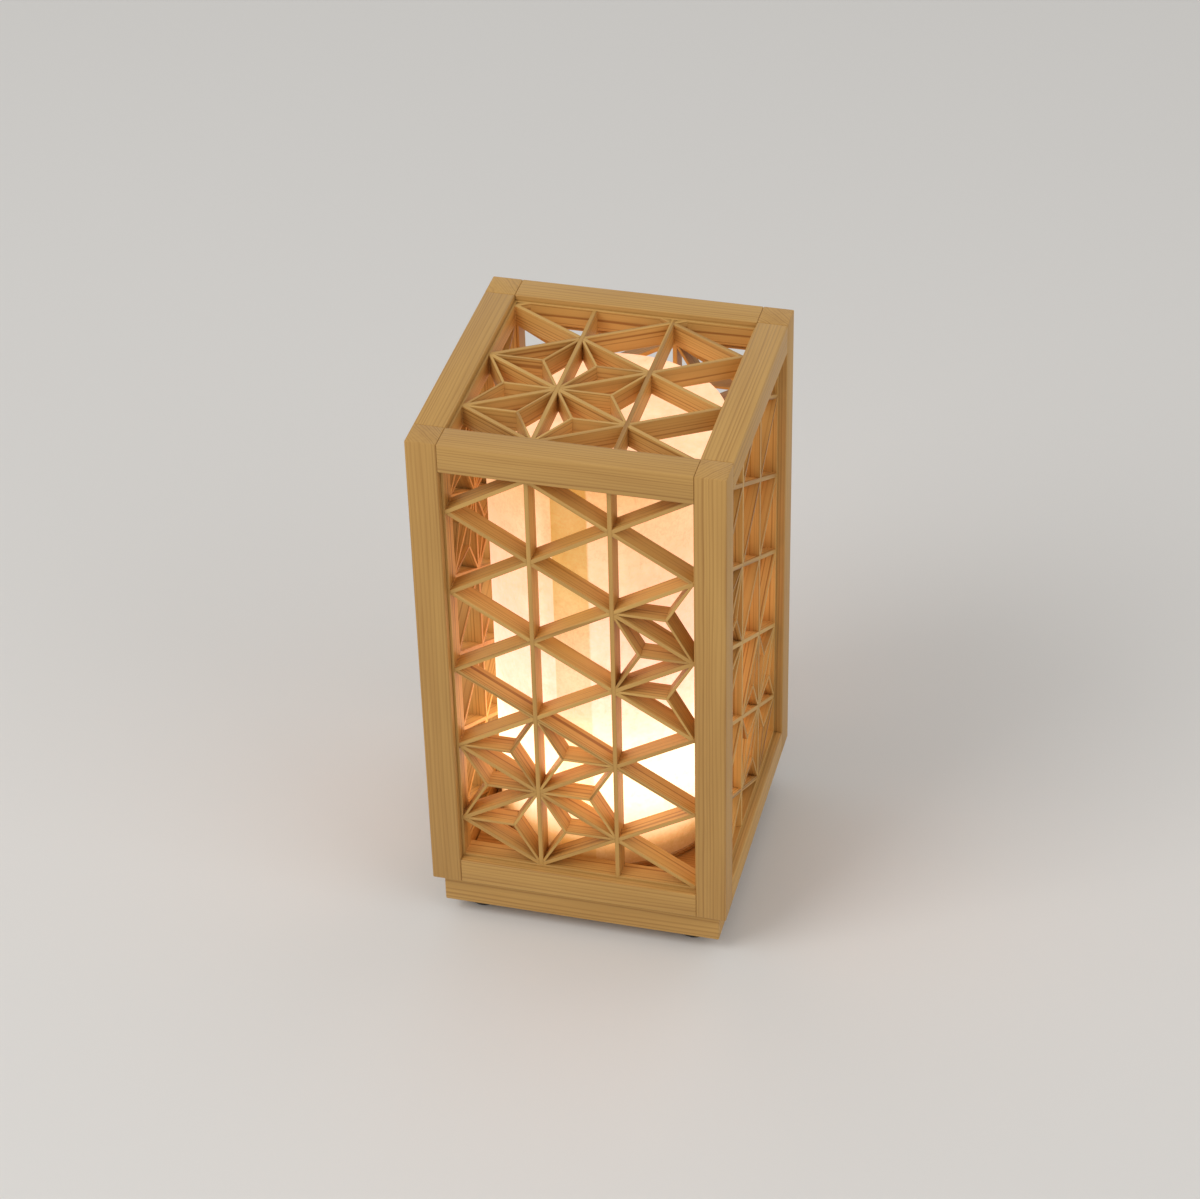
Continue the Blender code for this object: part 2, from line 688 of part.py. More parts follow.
clear_scene()
LAMP = new_collection("kumiko_table_lamp")
CUTTERS = new_collection("cutters")
MATERIALS = make_finishes()

hood_axis = add_axis("hood")
make_posts(hood_axis)
make_rails(hood_axis)
make_panels(hood_axis)
make_base()
make_feet()
make_gland()
make_shade_ring()
make_paper_tube()
make_paper_top()
make_lampholder()
make_holder_screws()
make_bulb(add_axis("bulb"))
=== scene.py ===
"""Looks of a kumiko table lamp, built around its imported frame.

The hood's hinoki posts and rails, the three-way kumiko panels with their asanoha leaves, the washi
shade, the base and the small screw lamp are modelled here piece by piece, in metres and in the frame of
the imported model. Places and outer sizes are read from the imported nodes.
"""

import logging
import math
import random
from contextlib import contextmanager
from dataclasses import dataclass, field
from enum import Enum
from typing import Callable, Iterator, Sequence

import bpy
from mathutils import Matrix, Vector


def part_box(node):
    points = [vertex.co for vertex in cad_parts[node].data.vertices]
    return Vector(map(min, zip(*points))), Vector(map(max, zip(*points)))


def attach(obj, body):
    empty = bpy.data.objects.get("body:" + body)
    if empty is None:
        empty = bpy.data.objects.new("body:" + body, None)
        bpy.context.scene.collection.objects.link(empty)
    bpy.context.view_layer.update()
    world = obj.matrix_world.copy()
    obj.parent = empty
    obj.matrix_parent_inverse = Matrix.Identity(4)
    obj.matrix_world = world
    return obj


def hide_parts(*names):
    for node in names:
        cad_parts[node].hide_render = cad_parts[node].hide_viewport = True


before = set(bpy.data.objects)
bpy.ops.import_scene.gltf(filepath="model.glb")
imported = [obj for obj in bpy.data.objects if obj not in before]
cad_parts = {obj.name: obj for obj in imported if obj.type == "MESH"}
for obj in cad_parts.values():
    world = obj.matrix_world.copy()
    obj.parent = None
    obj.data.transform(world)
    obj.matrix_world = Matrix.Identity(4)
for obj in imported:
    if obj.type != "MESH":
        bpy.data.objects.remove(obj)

LOG = logging.getLogger("kumiko_lamp")
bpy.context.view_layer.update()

Triple = tuple[float, float, float]
Range = tuple[float, float]
Colour = tuple[float, float, float]
Profile = Sequence[tuple[float, float]]
Stops = Sequence[tuple[float, Colour]]
Outline = list[Vector]
EdgeTest = Callable[[Vector, Vector], bool]
Piece = bpy.types.Object
Material = bpy.types.Material
Node = bpy.types.Node
Socket = bpy.types.NodeSocket
Tree = bpy.types.NodeTree

# The gap between pieces that are fitted to each other, the reach within which two points are one, and
# the shortest side that is left on an outline when it is cut
HAIRLINE = 0.00002
TOUCH = 0.00005
SHORTEST = TOUCH / 10

# Faces that meet at less than this are shaded as one: on turned work, planed work and small screws
SOFT_TURNED = math.radians(40)
SOFT_PLANED = math.radians(30)
SOFT_SCREW = math.radians(35)

QUARTER = math.pi / 2
ALONG_X = Vector((1, 0, 0))
ALONG_Y = Vector((0, 1, 0))
WHITE = (1.0, 1.0, 1.0)

CORNERS = ("front_left", "front_right", "back_right", "back_left")
BORDER_EDGES = ("left", "right", "bottom", "top")
SCREW_SIDES = ("left", "right")


class Body(Enum):
    """The bodies that carry the pieces."""

    BASE = "base"
    HOOD = "hood"
    LEAD = "bulb_lead"
    BULB = "bulb"


class Slot(Enum):
    """Names of the material slots."""

    HINOKI = "hinoki"
    STRIP = "kumiko_strip"
    WASHI = "washi"
    RUBBER = "dark_rubber"
    PLASTIC = "white_plastic"
    NICKEL = "nickel"
    BRASS = "brass"
    OPAL = "opal"


class Side(Enum):
    """The five faces of the hood that carry a kumiko panel."""

    FRONT = "front"
    RIGHT = "right"
    BACK = "back"
    LEFT = "left"
    TOP = "top"

    def turn(self) -> Matrix:
        """The turn about the lamp's axis that brings the front to this side."""
        return rotation(WALLS.index(self) * QUARTER, "Z")


WALLS = (Side.FRONT, Side.RIGHT, Side.BACK, Side.LEFT)


class Level(Enum):
    """The two heights that the hood's rails are at."""

    TOP = "top"
    BOTTOM = "bottom"


class Family(Enum):
    """The three directions of a lattice's strips, with their rise in pitches for each column."""

    UPRIGHT = None
    RISING = 0.5
    FALLING = -0.5


def rotation(angle: float, axis: str) -> Matrix:
    """A turn about one of the frame's axes."""
    return Matrix.Rotation(angle, 4, axis)


def middle(node: str) -> Vector:
    """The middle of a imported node's box."""
    low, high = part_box(node)
    return (low + high) / 2


def span(node: str) -> Vector:
    """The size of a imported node's box."""
    low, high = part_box(node)
    return high - low


def over_floor(node: str) -> Matrix:
    """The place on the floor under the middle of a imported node."""
    centre = middle(node)
    return Matrix.Translation((centre.x, centre.y, 0.0))


class Bench:
    """Modelling steps with Blender's operators, as done by hand."""

    # Points nearer than this are merged, and faces flatter than these are taken out
    MERGE = 1e-6
    FLAT = 1e-7
    FLAT_AFTER_CUT = 1e-6

    @staticmethod
    def clear() -> None:
        """Leaves edit mode and deselects everything."""
        if bpy.context.object is not None and bpy.context.object.mode != "OBJECT":
            bpy.ops.object.mode_set(mode="OBJECT")
        bpy.ops.object.select_all(action="DESELECT")

    @staticmethod
    def pick(obj: Piece) -> None:
        """Makes one object the only selected and active one.

        Args:
            obj: The object.
        """
        Bench.clear()
        obj.select_set(True)
        bpy.context.view_layer.objects.active = obj

    @staticmethod
    @contextmanager
    def editing(obj: Piece) -> Iterator[None]:
        """Opens an object in edit mode with all of it selected, and closes it afterwards.

        Args:
            obj: The object, which becomes the active one.

        Yields:
            Nothing; the object is open meanwhile.
        """
        Bench.pick(obj)
        bpy.ops.object.mode_set(mode="EDIT")
        bpy.ops.mesh.select_all(action="SELECT")
        yield
        bpy.ops.object.mode_set(mode="OBJECT")

    @staticmethod
    def face_outward() -> None:
        """Turns all faces of the open object outwards."""
        bpy.ops.mesh.select_all(action="SELECT")
        bpy.ops.mesh.normals_make_consistent(inside=False)

    @staticmethod
    def select_edges(obj: Piece, wanted: EdgeTest) -> None:
        """Selects the edges whose two ends pass a test, and stays in edit mode.

        Args:
            obj: The object, which becomes the active one.
            wanted: Takes an edge's two end points and says whether it is selected.
        """
        Bench.pick(obj)
        bpy.ops.object.mode_set(mode="EDIT")
        bpy.ops.mesh.select_mode(type="EDGE")
        bpy.ops.mesh.select_all(action="DESELECT")
        bpy.ops.object.mode_set(mode="OBJECT")
        points = obj.data.vertices
        for edge in obj.data.edges:
            first, last = edge.vertices
            edge.select = wanted(points[first].co, points[last].co)
        bpy.ops.object.mode_set(mode="EDIT")

    @staticmethod
    def prism(outline: Outline, low: float, high: float) -> Piece:
        """A filled outline in the XZ plane, extruded along Y.

        Args:
            outline: Points of the outline as (x, z).
            low: Where the prism starts on Y.
            high: Where it ends on Y.

        Returns:
            The new object.
        """
        Bench.clear()
        bpy.ops.mesh.primitive_circle_add(vertices=len(outline), radius=1.0, fill_type="NGON")
        obj = bpy.context.object
        for vert, point in zip(obj.data.vertices, outline):
            vert.co = (point.x, low, point.y)
        with Bench.editing(obj):
            bpy.ops.mesh.extrude_region_move(TRANSFORM_OT_translate={"value": (0.0, high - low, 0.0)})
            Bench.face_outward()
        return obj

    @staticmethod
    def turned(profile: Profile, steps: int, closed: bool = False) -> Piece:
        """A profile of (radius, height) points spun about the Z axis.

        Args:
            profile: The points; an open profile starts and ends on the axis.
            steps: Facets round the axis.
            closed: Whether the profile is a closed loop, which makes a ring.

        Returns:
            The new object, smooth but for its sharp edges.
        """
        Bench.clear()
        bpy.ops.mesh.primitive_circle_add(vertices=len(profile), radius=1.0, fill_type="NOTHING")
        obj = bpy.context.object
        for vert, (radius, height) in zip(obj.data.vertices, profile):
            vert.co = (radius, 0.0, height)
        if not closed:
            Bench.select_edges(obj, lambda a, b: a.x < TOUCH and b.x < TOUCH)
            bpy.ops.mesh.delete(type="EDGE")
        with Bench.editing(obj):
            bpy.ops.mesh.spin(steps=steps, angle=2 * math.pi, center=(0, 0, 0), axis=(0, 0, 1))
            bpy.ops.mesh.select_all(action="SELECT")
            bpy.ops.mesh.remove_doubles(threshold=Bench.MERGE)
            bpy.ops.mesh.dissolve_degenerate(threshold=Bench.FLAT)
            Bench.face_outward()
        Bench.smoothed(obj, SOFT_TURNED)
        return obj

    @staticmethod
    def ease(obj: Piece, width: float, segments: int, wanted: EdgeTest) -> None:
        """Bevels the edges that pass a test.

        Args:
            obj: The object.
            width: Width of the bevel.
            segments: Faces across the bevel.
            wanted: Test of an edge's two end points.
        """
        Bench.select_edges(obj, wanted)
        bpy.ops.mesh.bevel(offset=width, segments=segments, affect="EDGES", clamp_overlap=True)
        bpy.ops.object.mode_set(mode="OBJECT")

    @staticmethod
    def smoothed(obj: Piece, angle: float) -> None:
        """Shades an object smooth where its faces meet at less than an angle."""
        Bench.pick(obj)
        bpy.ops.object.shade_smooth_by_angle(angle=angle)

    @staticmethod
    def moved(obj: Piece, place: Matrix) -> Piece:
        """Moves an object and applies its place to its mesh.

        Args:
            obj: The object.
            place: Where it goes.

        Returns:
            The same object.
        """
        Bench.pick(obj)
        obj.matrix_world = place
        bpy.ops.object.transform_apply(location=True, rotation=True, scale=True)
        return obj

    @staticmethod
    def copied(obj: Piece) -> Piece:
        """A copy of an object with a mesh of its own.

        Args:
            obj: The object.

        Returns:
            The copy.
        """
        copy = obj.copy()
        copy.data = obj.data.copy()
        bpy.context.scene.collection.objects.link(copy)
        return copy

    @staticmethod
    def discard(obj: Piece) -> None:
        """Takes an object that has been used out of the scene."""
        bpy.data.objects.remove(obj, do_unlink=True)

    @staticmethod
    def joined(objs: Sequence[Piece]) -> Piece:
        """Joins objects into the first of them.

        Args:
            objs: The objects.

        Returns:
            The first object, with the others in its mesh.
        """
        Bench.clear()
        for obj in objs:
            obj.select_set(True)
        bpy.context.view_layer.objects.active = objs[0]
        if len(objs) > 1:
            bpy.ops.object.join()
        return objs[0]

    @staticmethod
    def apply(obj: Piece, kind: str, **values: object) -> None:
        """Adds a modifier, sets it and applies it.

        Args:
            obj: The object.
            kind: The modifier's type.
            **values: The modifier's settings.
        """
        Bench.pick(obj)
        modifier = obj.modifiers.new(kind.lower(), kind)
        for name, value in values.items():
            setattr(modifier, name, value)
        bpy.ops.object.modifier_apply(modifier=modifier.name)

    @staticmethod
    def cut(obj: Piece, cutter: Piece) -> None:
        """Cuts one object out of another and removes the cutter."""
        Bench.apply(obj, "BOOLEAN", operation="DIFFERENCE", object=cutter, solver="EXACT")
        Bench.discard(cutter)

    @staticmethod
    def drill(obj: Piece, radius: float, ends: Range, steps: int, place: Matrix) -> None:
        """Drills a round hole.

        Args:
            obj: The object.
            radius: The hole's radius.
            ends: Its lower and upper end on its own axis.
            steps: Facets round it.
            place: Where its axis stands.
        """
        low, high = ends
        bit = Bench.turned(((0.0, high), (radius, high), (radius, low), (0.0, low)), steps)
        Bench.cut(obj, Bench.moved(bit, place))


def finished(
    obj: Piece, name: str, body: Body, materials: Sequence[Material], nodes: Sequence[str]
) -> None:
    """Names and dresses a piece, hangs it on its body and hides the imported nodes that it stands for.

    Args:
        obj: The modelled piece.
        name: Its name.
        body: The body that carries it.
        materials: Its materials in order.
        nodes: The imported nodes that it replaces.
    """
    obj.name = name
    obj.data.name = name
    obj.data.materials.clear()
    for material in materials:
        obj.data.materials.append(material)
    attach(obj, body.value)
    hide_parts(*nodes)
    LOG.info("%s: %d faces, rides on %s", name, len(obj.data.polygons), body.value)


def clipped(outline: Outline, point: Vector, away: Vector) -> Outline:
    """Cuts a convex outline along a line.

    Args:
        outline: The outline's points.
        point: A point on the line.
        away: The direction of the side that is cut off.

    Returns:
        The outline that is left.
    """
    kept: Outline = []
    for here, after in zip(outline, [*outline[1:], outline[0]]):
        out_here = (here - point).dot(away)
        out_after = (after - point).dot(away)
        if out_here <= 0:
            kept.append(here)
        if out_here * out_after < 0:
            kept.append(here.lerp(after, out_here / (out_here - out_after)))
    return [p for i, p in enumerate(kept) if (p - kept[i - 1]).length > SHORTEST]


def square_to(run: Vector, towards: Vector) -> Vector:
    """The direction square to a run in a panel's plane.

    Args:
        run: The run's direction.
        towards: Points to the side that is wanted.

    Returns:
        The direction on that side.
    """
    side = Vector((-run.y, run.x))
    return -side if side.dot(towards) < 0 else side


def strip_outline(start: Vector, end: Vector, thickness: float, over: float) -> Outline:
    """The outline of a straight strip between two points.

    Args:
        start: The first point.
        end: The last point.
        thickness: The strip's thickness.
        over: How far it goes past each point.

    Returns:
        The four corners.
    """
    run = (end - start).normalized()
    side = Vector((-run.y, run.x)) * thickness / 2
    first = start - run * over
    last = end + run * over
    return [first - side, last - side, last + side, first + side]


def rectangle(low_x: float, low_z: float, high_x: float, high_z: float) -> Outline:
    """The outline of an upright rectangle."""
    corners = ((low_x, low_z), (high_x, low_z), (high_x, high_z), (low_x, high_z))
    return [Vector(corner) for corner in corners]


class Timber:
    """Writes the way the wood grows into a piece, as attributes that its finish reads."""

    GRAIN = "grain"
    TONE = "tone"
    END_FACING = 0.9

    @staticmethod
    def mark(
        obj: Piece,
        along: Vector,
        rings: Vector,
        draw: random.Random,
        stick_of: Callable[[Vector], int] = lambda point: 0,
    ) -> None:
        """Writes a place along the grain and across the growth rings at each point of a mesh.

        Args:
            obj: The piece, before it is moved into place.
            along: Direction of the grain.
            rings: Direction across the growth rings.
            draw: Source of the offsets that make each stick of wood differ.
            stick_of: Tells which stick of the mesh a point is on.
        """
        mesh = obj.data
        along = along.normalized()
        rings = (rings - along * rings.dot(along)).normalized()
        third = along.cross(rings)
        shifts: dict[int, tuple[Vector, float]] = {}
        places: list[float] = []
        tones: list[float] = []
        for vert in mesh.vertices:
            stick = stick_of(vert.co)
            if stick not in shifts:
                shift = Vector([draw.uniform(-1.0, 1.0) for _ in range(3)])
                shifts[stick] = (shift, draw.uniform(-1.0, 1.0))
            shift, tone = shifts[stick]
            place = Vector((vert.co.dot(along), vert.co.dot(rings), vert.co.dot(third))) + shift
            places.extend(place)
            tones.append(tone)
        grain = mesh.attributes.new(Timber.GRAIN, "FLOAT_VECTOR", "POINT")
        grain.data.foreach_set("vector", places)
        tone_layer = mesh.attributes.new(Timber.TONE, "FLOAT", "POINT")
        tone_layer.data.foreach_set("value", tones)

    @staticmethod
    def erase(obj: Piece) -> None:
        """Takes the marks off a piece.

        Args:
            obj: The piece.
        """
        for layer in (Timber.GRAIN, Timber.TONE):
            found = obj.data.attributes.get(layer)
            if found is not None:
                obj.data.attributes.remove(found)

    @staticmethod
    def part_ends(obj: Piece, along: Vector) -> None:
        """Gives the faces that cross the grain the second material, for end grain."""
        for face in obj.data.polygons:
            face.material_index = 1 if abs(face.normal.dot(along)) > Timber.END_FACING else 0


def opaque(colour: Colour) -> tuple[float, float, float, float]:
    """A colour with full alpha."""
    return (*colour, 1.0)


@dataclass(frozen=True)
class NoiseLayer:
    """A noise with its cycles a metre on each axis, its detail and how much it counts."""

    stretch: Triple
    detail: float
    share: float = 1.0


class Wiring:
    """Short ways to add and link shader nodes in one node tree."""

    # A Mix node also has sockets for numbers and vectors: these are its colour sockets
    MIX_SHARE = 0
    MIX_FIRST = 6
    MIX_SECOND = 7
    MIX_RESULT = 2

    # The middle value of a noise, and where a ramp's new stop stands until it gets its place
    HALF_WAY = 0.5

    def __init__(self, tree: Tree) -> None:
        """Keeps the tree that nodes are added to."""
        self.tree = tree

    def feed(self, socket: Socket, value: object) -> None:
        """Links an output to a socket, or sets the socket's own value.

        Args:
            socket: The input.
            value: An output to link, or a value.
        """
        if isinstance(value, bpy.types.NodeSocket):
            self.tree.links.new(value, socket)
        else:
            socket.default_value = value

    def fill(self, node: Node, values: dict[str, object]) -> None:
        """Links or sets several inputs of a node by their names."""
        for name, value in values.items():
            self.feed(node.inputs[name], value)

    def node(self, kind: str, **settings: object) -> Node:
        """Adds a node and sets its properties.

        Args:
            kind: The node's type.
            **settings: Its properties.

        Returns:
            The node.
        """
        made = self.tree.nodes.new(kind)
        for name, value in settings.items():
            setattr(made, name, value)
        return made

    def group(self, tree: Tree) -> Node:
        """Places a shared node group."""
        return self.node("ShaderNodeGroup", node_tree=tree)

    def place(self) -> Socket:
        """The piece's own coordinates."""
        return self.node("ShaderNodeTexCoord").outputs["Object"]

    def math(self, operation: str, *values: object, clamp: bool = False) -> Socket:
        """A Math node on values or sockets.

        Args:
            operation: The node's operation.
            *values: Its inputs in order.
            clamp: Whether the result stays from 0 to 1.

        Returns:
            The output socket.
        """
        made = self.node("ShaderNodeMath", operation=operation, use_clamp=clamp)
        for socket, value in zip(made.inputs, values):
            self.feed(socket, value)
        return made.outputs[0]

    def split(self, vector: Socket) -> Node:
        """Parts a vector into its X, Y and Z outputs.

        Args:
            vector: The vector's socket.

        Returns:
            The node with the three outputs.
        """
        made = self.node("ShaderNodeSeparateXYZ")
        self.feed(made.inputs[0], vector)
        return made

    def noise(self, vector: Socket, scale: float, detail: float) -> Socket:
        """The value of a noise texture.

        Args:
            vector: The place that it is read at.
            scale: Its cycles a unit.
            detail: The finer noise in it.

        Returns:
            The value's socket.
        """
        made = self.node("ShaderNodeTexNoise", noise_dimensions="3D")
        self.fill(made, {"Vector": vector, "Scale": scale, "Detail": detail})
        return made.outputs[0]

    def layer(self, vector: Socket, layer: NoiseLayer) -> Socket:
        """The value of a stretched noise.

        Args:
            vector: The place that it is read at.
            layer: The noise.

        Returns:
            The value's socket, from 0 to 1.
        """
        made = self.node("ShaderNodeVectorMath", operation="MULTIPLY")
        self.feed(made.inputs[0], vector)
        self.feed(made.inputs[1], layer.stretch)
        return self.noise(made.outputs[0], 1.0, layer.detail)

    def added(self, value: Socket, layer: NoiseLayer, base: Socket) -> Socket:
        """A base value with its share of a layer's noise, which counts up and down."""
        swing = self.math("SUBTRACT", value, self.HALF_WAY)
        return self.math("MULTIPLY_ADD", swing, layer.share, base)

    def spread(
        self, value: Socket, low: object, high: float, to_low: float = 0.0, to_high: float = 1.0
    ) -> Socket:
        """A value eased from one range to another.

        Args:
            value: The value's socket.
            low: Start of the range it comes from, a number or a socket.
            high: End of that range.
            to_low: Start of the range it goes to.
            to_high: End of that range.

        Returns:
            The output socket.
        """
        made = self.node("ShaderNodeMapRange", interpolation_type="SMOOTHSTEP")
        for socket, number in zip(made.inputs, (value, low, high, to_low, to_high)):
            self.feed(socket, number)
        return made.outputs[0]

    def mix(self, share: object, first: object, second: object, blend: str = "MIX") -> Socket:
        """Two colours mixed by a share.

        Args:
            share: How much of the second colour, from 0 to 1.
            first: The first colour or socket.
            second: The second colour or socket.
            blend: The blend type.

        Returns:
            The mixed colour's socket.
        """
        made = self.node("ShaderNodeMix", data_type="RGBA", blend_type=blend, clamp_factor=True)
        self.feed(made.inputs[self.MIX_SHARE], share)
        for index, colour in ((self.MIX_FIRST, first), (self.MIX_SECOND, second)):
            self.feed(made.inputs[index], opaque(colour) if isinstance(colour, tuple) else colour)
        return made.outputs[self.MIX_RESULT]

    def ramp(self, value: Socket, stops: Stops) -> Socket:
        """A colour that follows a value through stops.

        Args:
            value: The value's socket.
            stops: Places from 0 to 1 with their colours.

        Returns:
            The colour's socket.
        """
        made = self.node("ShaderNodeValToRGB")
        self.feed(made.inputs[0], value)
        elements = made.color_ramp.elements
        while len(elements) < len(stops):
            elements.new(self.HALF_WAY)
        for element, (place, colour) in zip(elements, stops):
            element.position = place
            element.color = opaque(colour)
        return made.outputs[0]

    def bump(self, height: Socket, strength: float, distance: float) -> Socket:
        """The normal that a height gives.

        Args:
            height: The height's socket.
            strength: How much of it shows.
            distance: How high it is.

        Returns:
            The normal's socket.
        """
        made = self.node("ShaderNodeBump")
        self.fill(made, {"Strength": strength, "Distance": distance, "Height": height})
        return made.outputs[0]


class SocketKind(Enum):
    """What a node group takes and gives."""

    VECTOR = "NodeSocketVector"
    NUMBER = "NodeSocketFloat"
    COLOUR = "NodeSocketColor"


def new_group(
    name: str, inputs: dict[str, SocketKind], outputs: dict[str, SocketKind]
) -> tuple[Tree, Node, Node]:
    """An empty shader node group with named sockets.

    Args:
        name: The group's name.
        inputs: Name and kind of each input.
        outputs: Name and kind of each output.

    Returns:
        The group with its input node and output node.
    """
    tree = bpy.data.node_groups.new(name, "ShaderNodeTree")
    for way, sockets in (("INPUT", inputs), ("OUTPUT", outputs)):
        for label, kind in sockets.items():
            tree.interface.new_socket(name=label, in_out=way, socket_type=kind.value)
    return tree, tree.nodes.new("NodeGroupInput"), tree.nodes.new("NodeGroupOutput")


@dataclass(frozen=True)
class GrowthPattern:
    """Growth rings, fibres and tone of straight-grained cypress.

    A noise's axes run along the grain, across the rings and through the stick.
    """

    wander: NoiseLayer = NoiseLayer((6.0, 60.0, 60.0), 2.0, 0.0032)
    uneven: NoiseLayer = NoiseLayer((1.0, 130.0, 30.0), 2.0, 5.0)
    fibre: NoiseLayer = NoiseLayer((45.0, 2600.0, 2600.0), 3.0, 0.30)
    streak: NoiseLayer = NoiseLayer((14.0, 420.0, 420.0), 2.0, 0.35)
    broad: NoiseLayer = NoiseLayer((9.0, 70.0, 70.0), 1.0, 0.45)
    late_full: float = 0.90
    late_fall: Range = (0.86, 1.0)
    faintest_ring: float = 0.2
    tone_share: float = 0.13
    dark_share: float = 0.16
    roughness: float = 0.44
    fibre_roughness: float = 0.16
    late_roughness: float = -0.08
    fibre_height: float = 0.7
    late_height: float = 0.3

    def group(self) -> Tree:
        """Builds the node group.

        Returns:
            The group, with a colour, a roughness and a height.
        """
        tree, given, result = new_group(
            "hinoki_growth",
            {
                "Grain": SocketKind.VECTOR,
                "Tone": SocketKind.NUMBER,
                "Ring Spacing": SocketKind.NUMBER,
                "Ring Strength": SocketKind.NUMBER,
                "Late Start": SocketKind.NUMBER,
                "Pale": SocketKind.COLOUR,
                "Dark": SocketKind.COLOUR,
            },
            {"Color": SocketKind.COLOUR, "Roughness": SocketKind.NUMBER, "Height": SocketKind.NUMBER},
        )
        w = Wiring(tree)
        grain = given.outputs["Grain"]
        late = self.late_wood(w, given)
        fibre = w.layer(grain, self.fibre)
        share = w.math("MULTIPLY", late, given.outputs["Ring Strength"])
        share = w.added(fibre, self.fibre, share)
        share = w.added(w.layer(grain, self.streak), self.streak, share)
        share = w.added(w.layer(grain, self.broad), self.broad, share)
        share = w.math("MULTIPLY_ADD", given.outputs["Tone"], self.tone_share, share)
        share = w.math("ADD", share, self.dark_share, clamp=True)
        rough = w.math("MULTIPLY_ADD", fibre, self.fibre_roughness, self.roughness)
        height = w.math("MULTIPLY", fibre, self.fibre_height)
        w.fill(
            result,
            {
                "Color": w.mix(share, given.outputs["Pale"], given.outputs["Dark"]),
                "Roughness": w.math("MULTIPLY_ADD", late, self.late_roughness, rough),
                "Height": w.math("MULTIPLY_ADD", late, self.late_height, height),
            },
        )
        return tree

    def late_wood(self, w: Wiring, given: Node) -> Socket:
        """The dark late wood of each ring, stronger in some rings than in others.

        Args:
            w: The group's wiring.
            given: The group's input node.

        Returns:
            A share from 0 to 1.
        """
        grain = given.outputs["Grain"]
        across = w.split(grain).outputs["Y"]
        bent = w.added(w.layer(grain, self.wander), self.wander, across)
        count = w.math("DIVIDE", bent, given.outputs["Ring Spacing"])
        count = w.added(w.layer(grain, self.uneven), self.uneven, count)
        phase = w.math("FRACT", count)
        rise = w.spread(phase, given.outputs["Late Start"], self.late_full)
        fall = w.spread(phase, *self.late_fall, 1.0, 0.0)
        each = w.node("ShaderNodeTexWhiteNoise", noise_dimensions="1D")
        w.feed(each.inputs["W"], w.math("FLOOR", count))
        faintest = self.faintest_ring
        force = w.math("MULTIPLY_ADD", each.outputs["Value"], 1.0 - faintest, faintest)
        return w.math("MULTIPLY", w.math("MULTIPLY", rise, fall), force)


@dataclass(frozen=True)
class FibrePattern:
    """Long bast fibres and cloudy thickness of handmade paper."""

    threads: tuple[NoiseLayer, ...] = (
        NoiseLayer((260.0, 260.0, 60.0), 1.0),
        NoiseLayer((90.0, 90.0, 300.0), 1.0),
        NoiseLayer((330.0, 330.0, 170.0), 1.0),
    )
    thread_width: float = 0.05
    patches: NoiseLayer = NoiseLayer((170.0, 170.0, 170.0), 2.0)
    patch_range: Range = (0.40, 0.66)
    fine: NoiseLayer = NoiseLayer((760.0, 760.0, 760.0), 3.0, 0.5)
    soft: NoiseLayer = NoiseLayer((260.0, 260.0, 260.0), 3.0, 0.5)

    def group(self) -> Tree:
        """Builds the node group.

        Returns:
            The group, with a fibre mask and a cloud value.
        """
        tree, given, result = new_group(
            "washi_fibre",
            {"Place": SocketKind.VECTOR},
            {"Fibre": SocketKind.NUMBER, "Cloud": SocketKind.NUMBER},
        )
        w = Wiring(tree)
        place = given.outputs["Place"]
        first, second, third = (self.thread(w, place, layer) for layer in self.threads)
        fibre = w.math("MAXIMUM", w.math("MAXIMUM", first, second), third)
        patchy = w.spread(w.layer(place, self.patches), *self.patch_range)
        soft = w.math("MULTIPLY", w.layer(place, self.soft), self.soft.share)
        w.fill(
            result,
            {
                "Fibre": w.math("MULTIPLY", fibre, patchy),
                "Cloud": w.math("MULTIPLY_ADD", w.layer(place, self.fine), self.fine.share, soft),
            },
        )
        return tree

    def thread(self, w: Wiring, place: Socket, layer: NoiseLayer) -> Socket:
        """Thin lines where a noise passes its middle value.

        Args:
            w: The group's wiring.
            place: The place on the paper.
            layer: The noise.

        Returns:
            A mask from 0 to 1.
        """
        ridge = w.math("ABSOLUTE", w.math("MULTIPLY_ADD", w.layer(place, layer), 2.0, -1.0))
        return w.spread(ridge, 0.0, self.thread_width, 1.0, 0.0)


@dataclass(frozen=True)
class SpecklePattern:
    """Fine uneven tone and texture for moulded and metal pieces."""

    height_detail: float = 2.0
    tone_scale: float = 0.08
    tone_detail: float = 4.0

    def group(self) -> Tree:
        """Builds the node group.

        Returns:
            The group, with a share from 0 to 1 and a height.
        """
        tree, given, result = new_group(
            "fine_speckle",
            {"Place": SocketKind.VECTOR, "Grain Size": SocketKind.NUMBER},
            {"Share": SocketKind.NUMBER, "Height": SocketKind.NUMBER},
        )
        w = Wiring(tree)
        grains = w.node("ShaderNodeVectorMath", operation="SCALE")
        w.feed(grains.inputs[0], given.outputs["Place"])
        w.feed(grains.inputs["Scale"], w.math("DIVIDE", 1.0, given.outputs["Grain Size"]))
        w.fill(
            result,
            {
                "Share": w.noise(grains.outputs[0], self.tone_scale, self.tone_detail),
                "Height": w.noise(grains.outputs[0], 1.0, self.height_detail),
            },
        )
        return tree


@dataclass(frozen=True)
class Groups:
    """The node groups that the finishes share."""

    growth: Tree
    fibre: Tree
    speckle: Tree


def blank_material(name: str) -> tuple[Material, Wiring, Node]:
    """A new material.

    Args:
        name: Its name.

    Returns:
        The material with its wiring and its Principled shader.
    """
    material = bpy.data.materials.new(name)
    material.use_nodes = True
    return material, Wiring(material.node_tree), material.node_tree.nodes["Principled BSDF"]


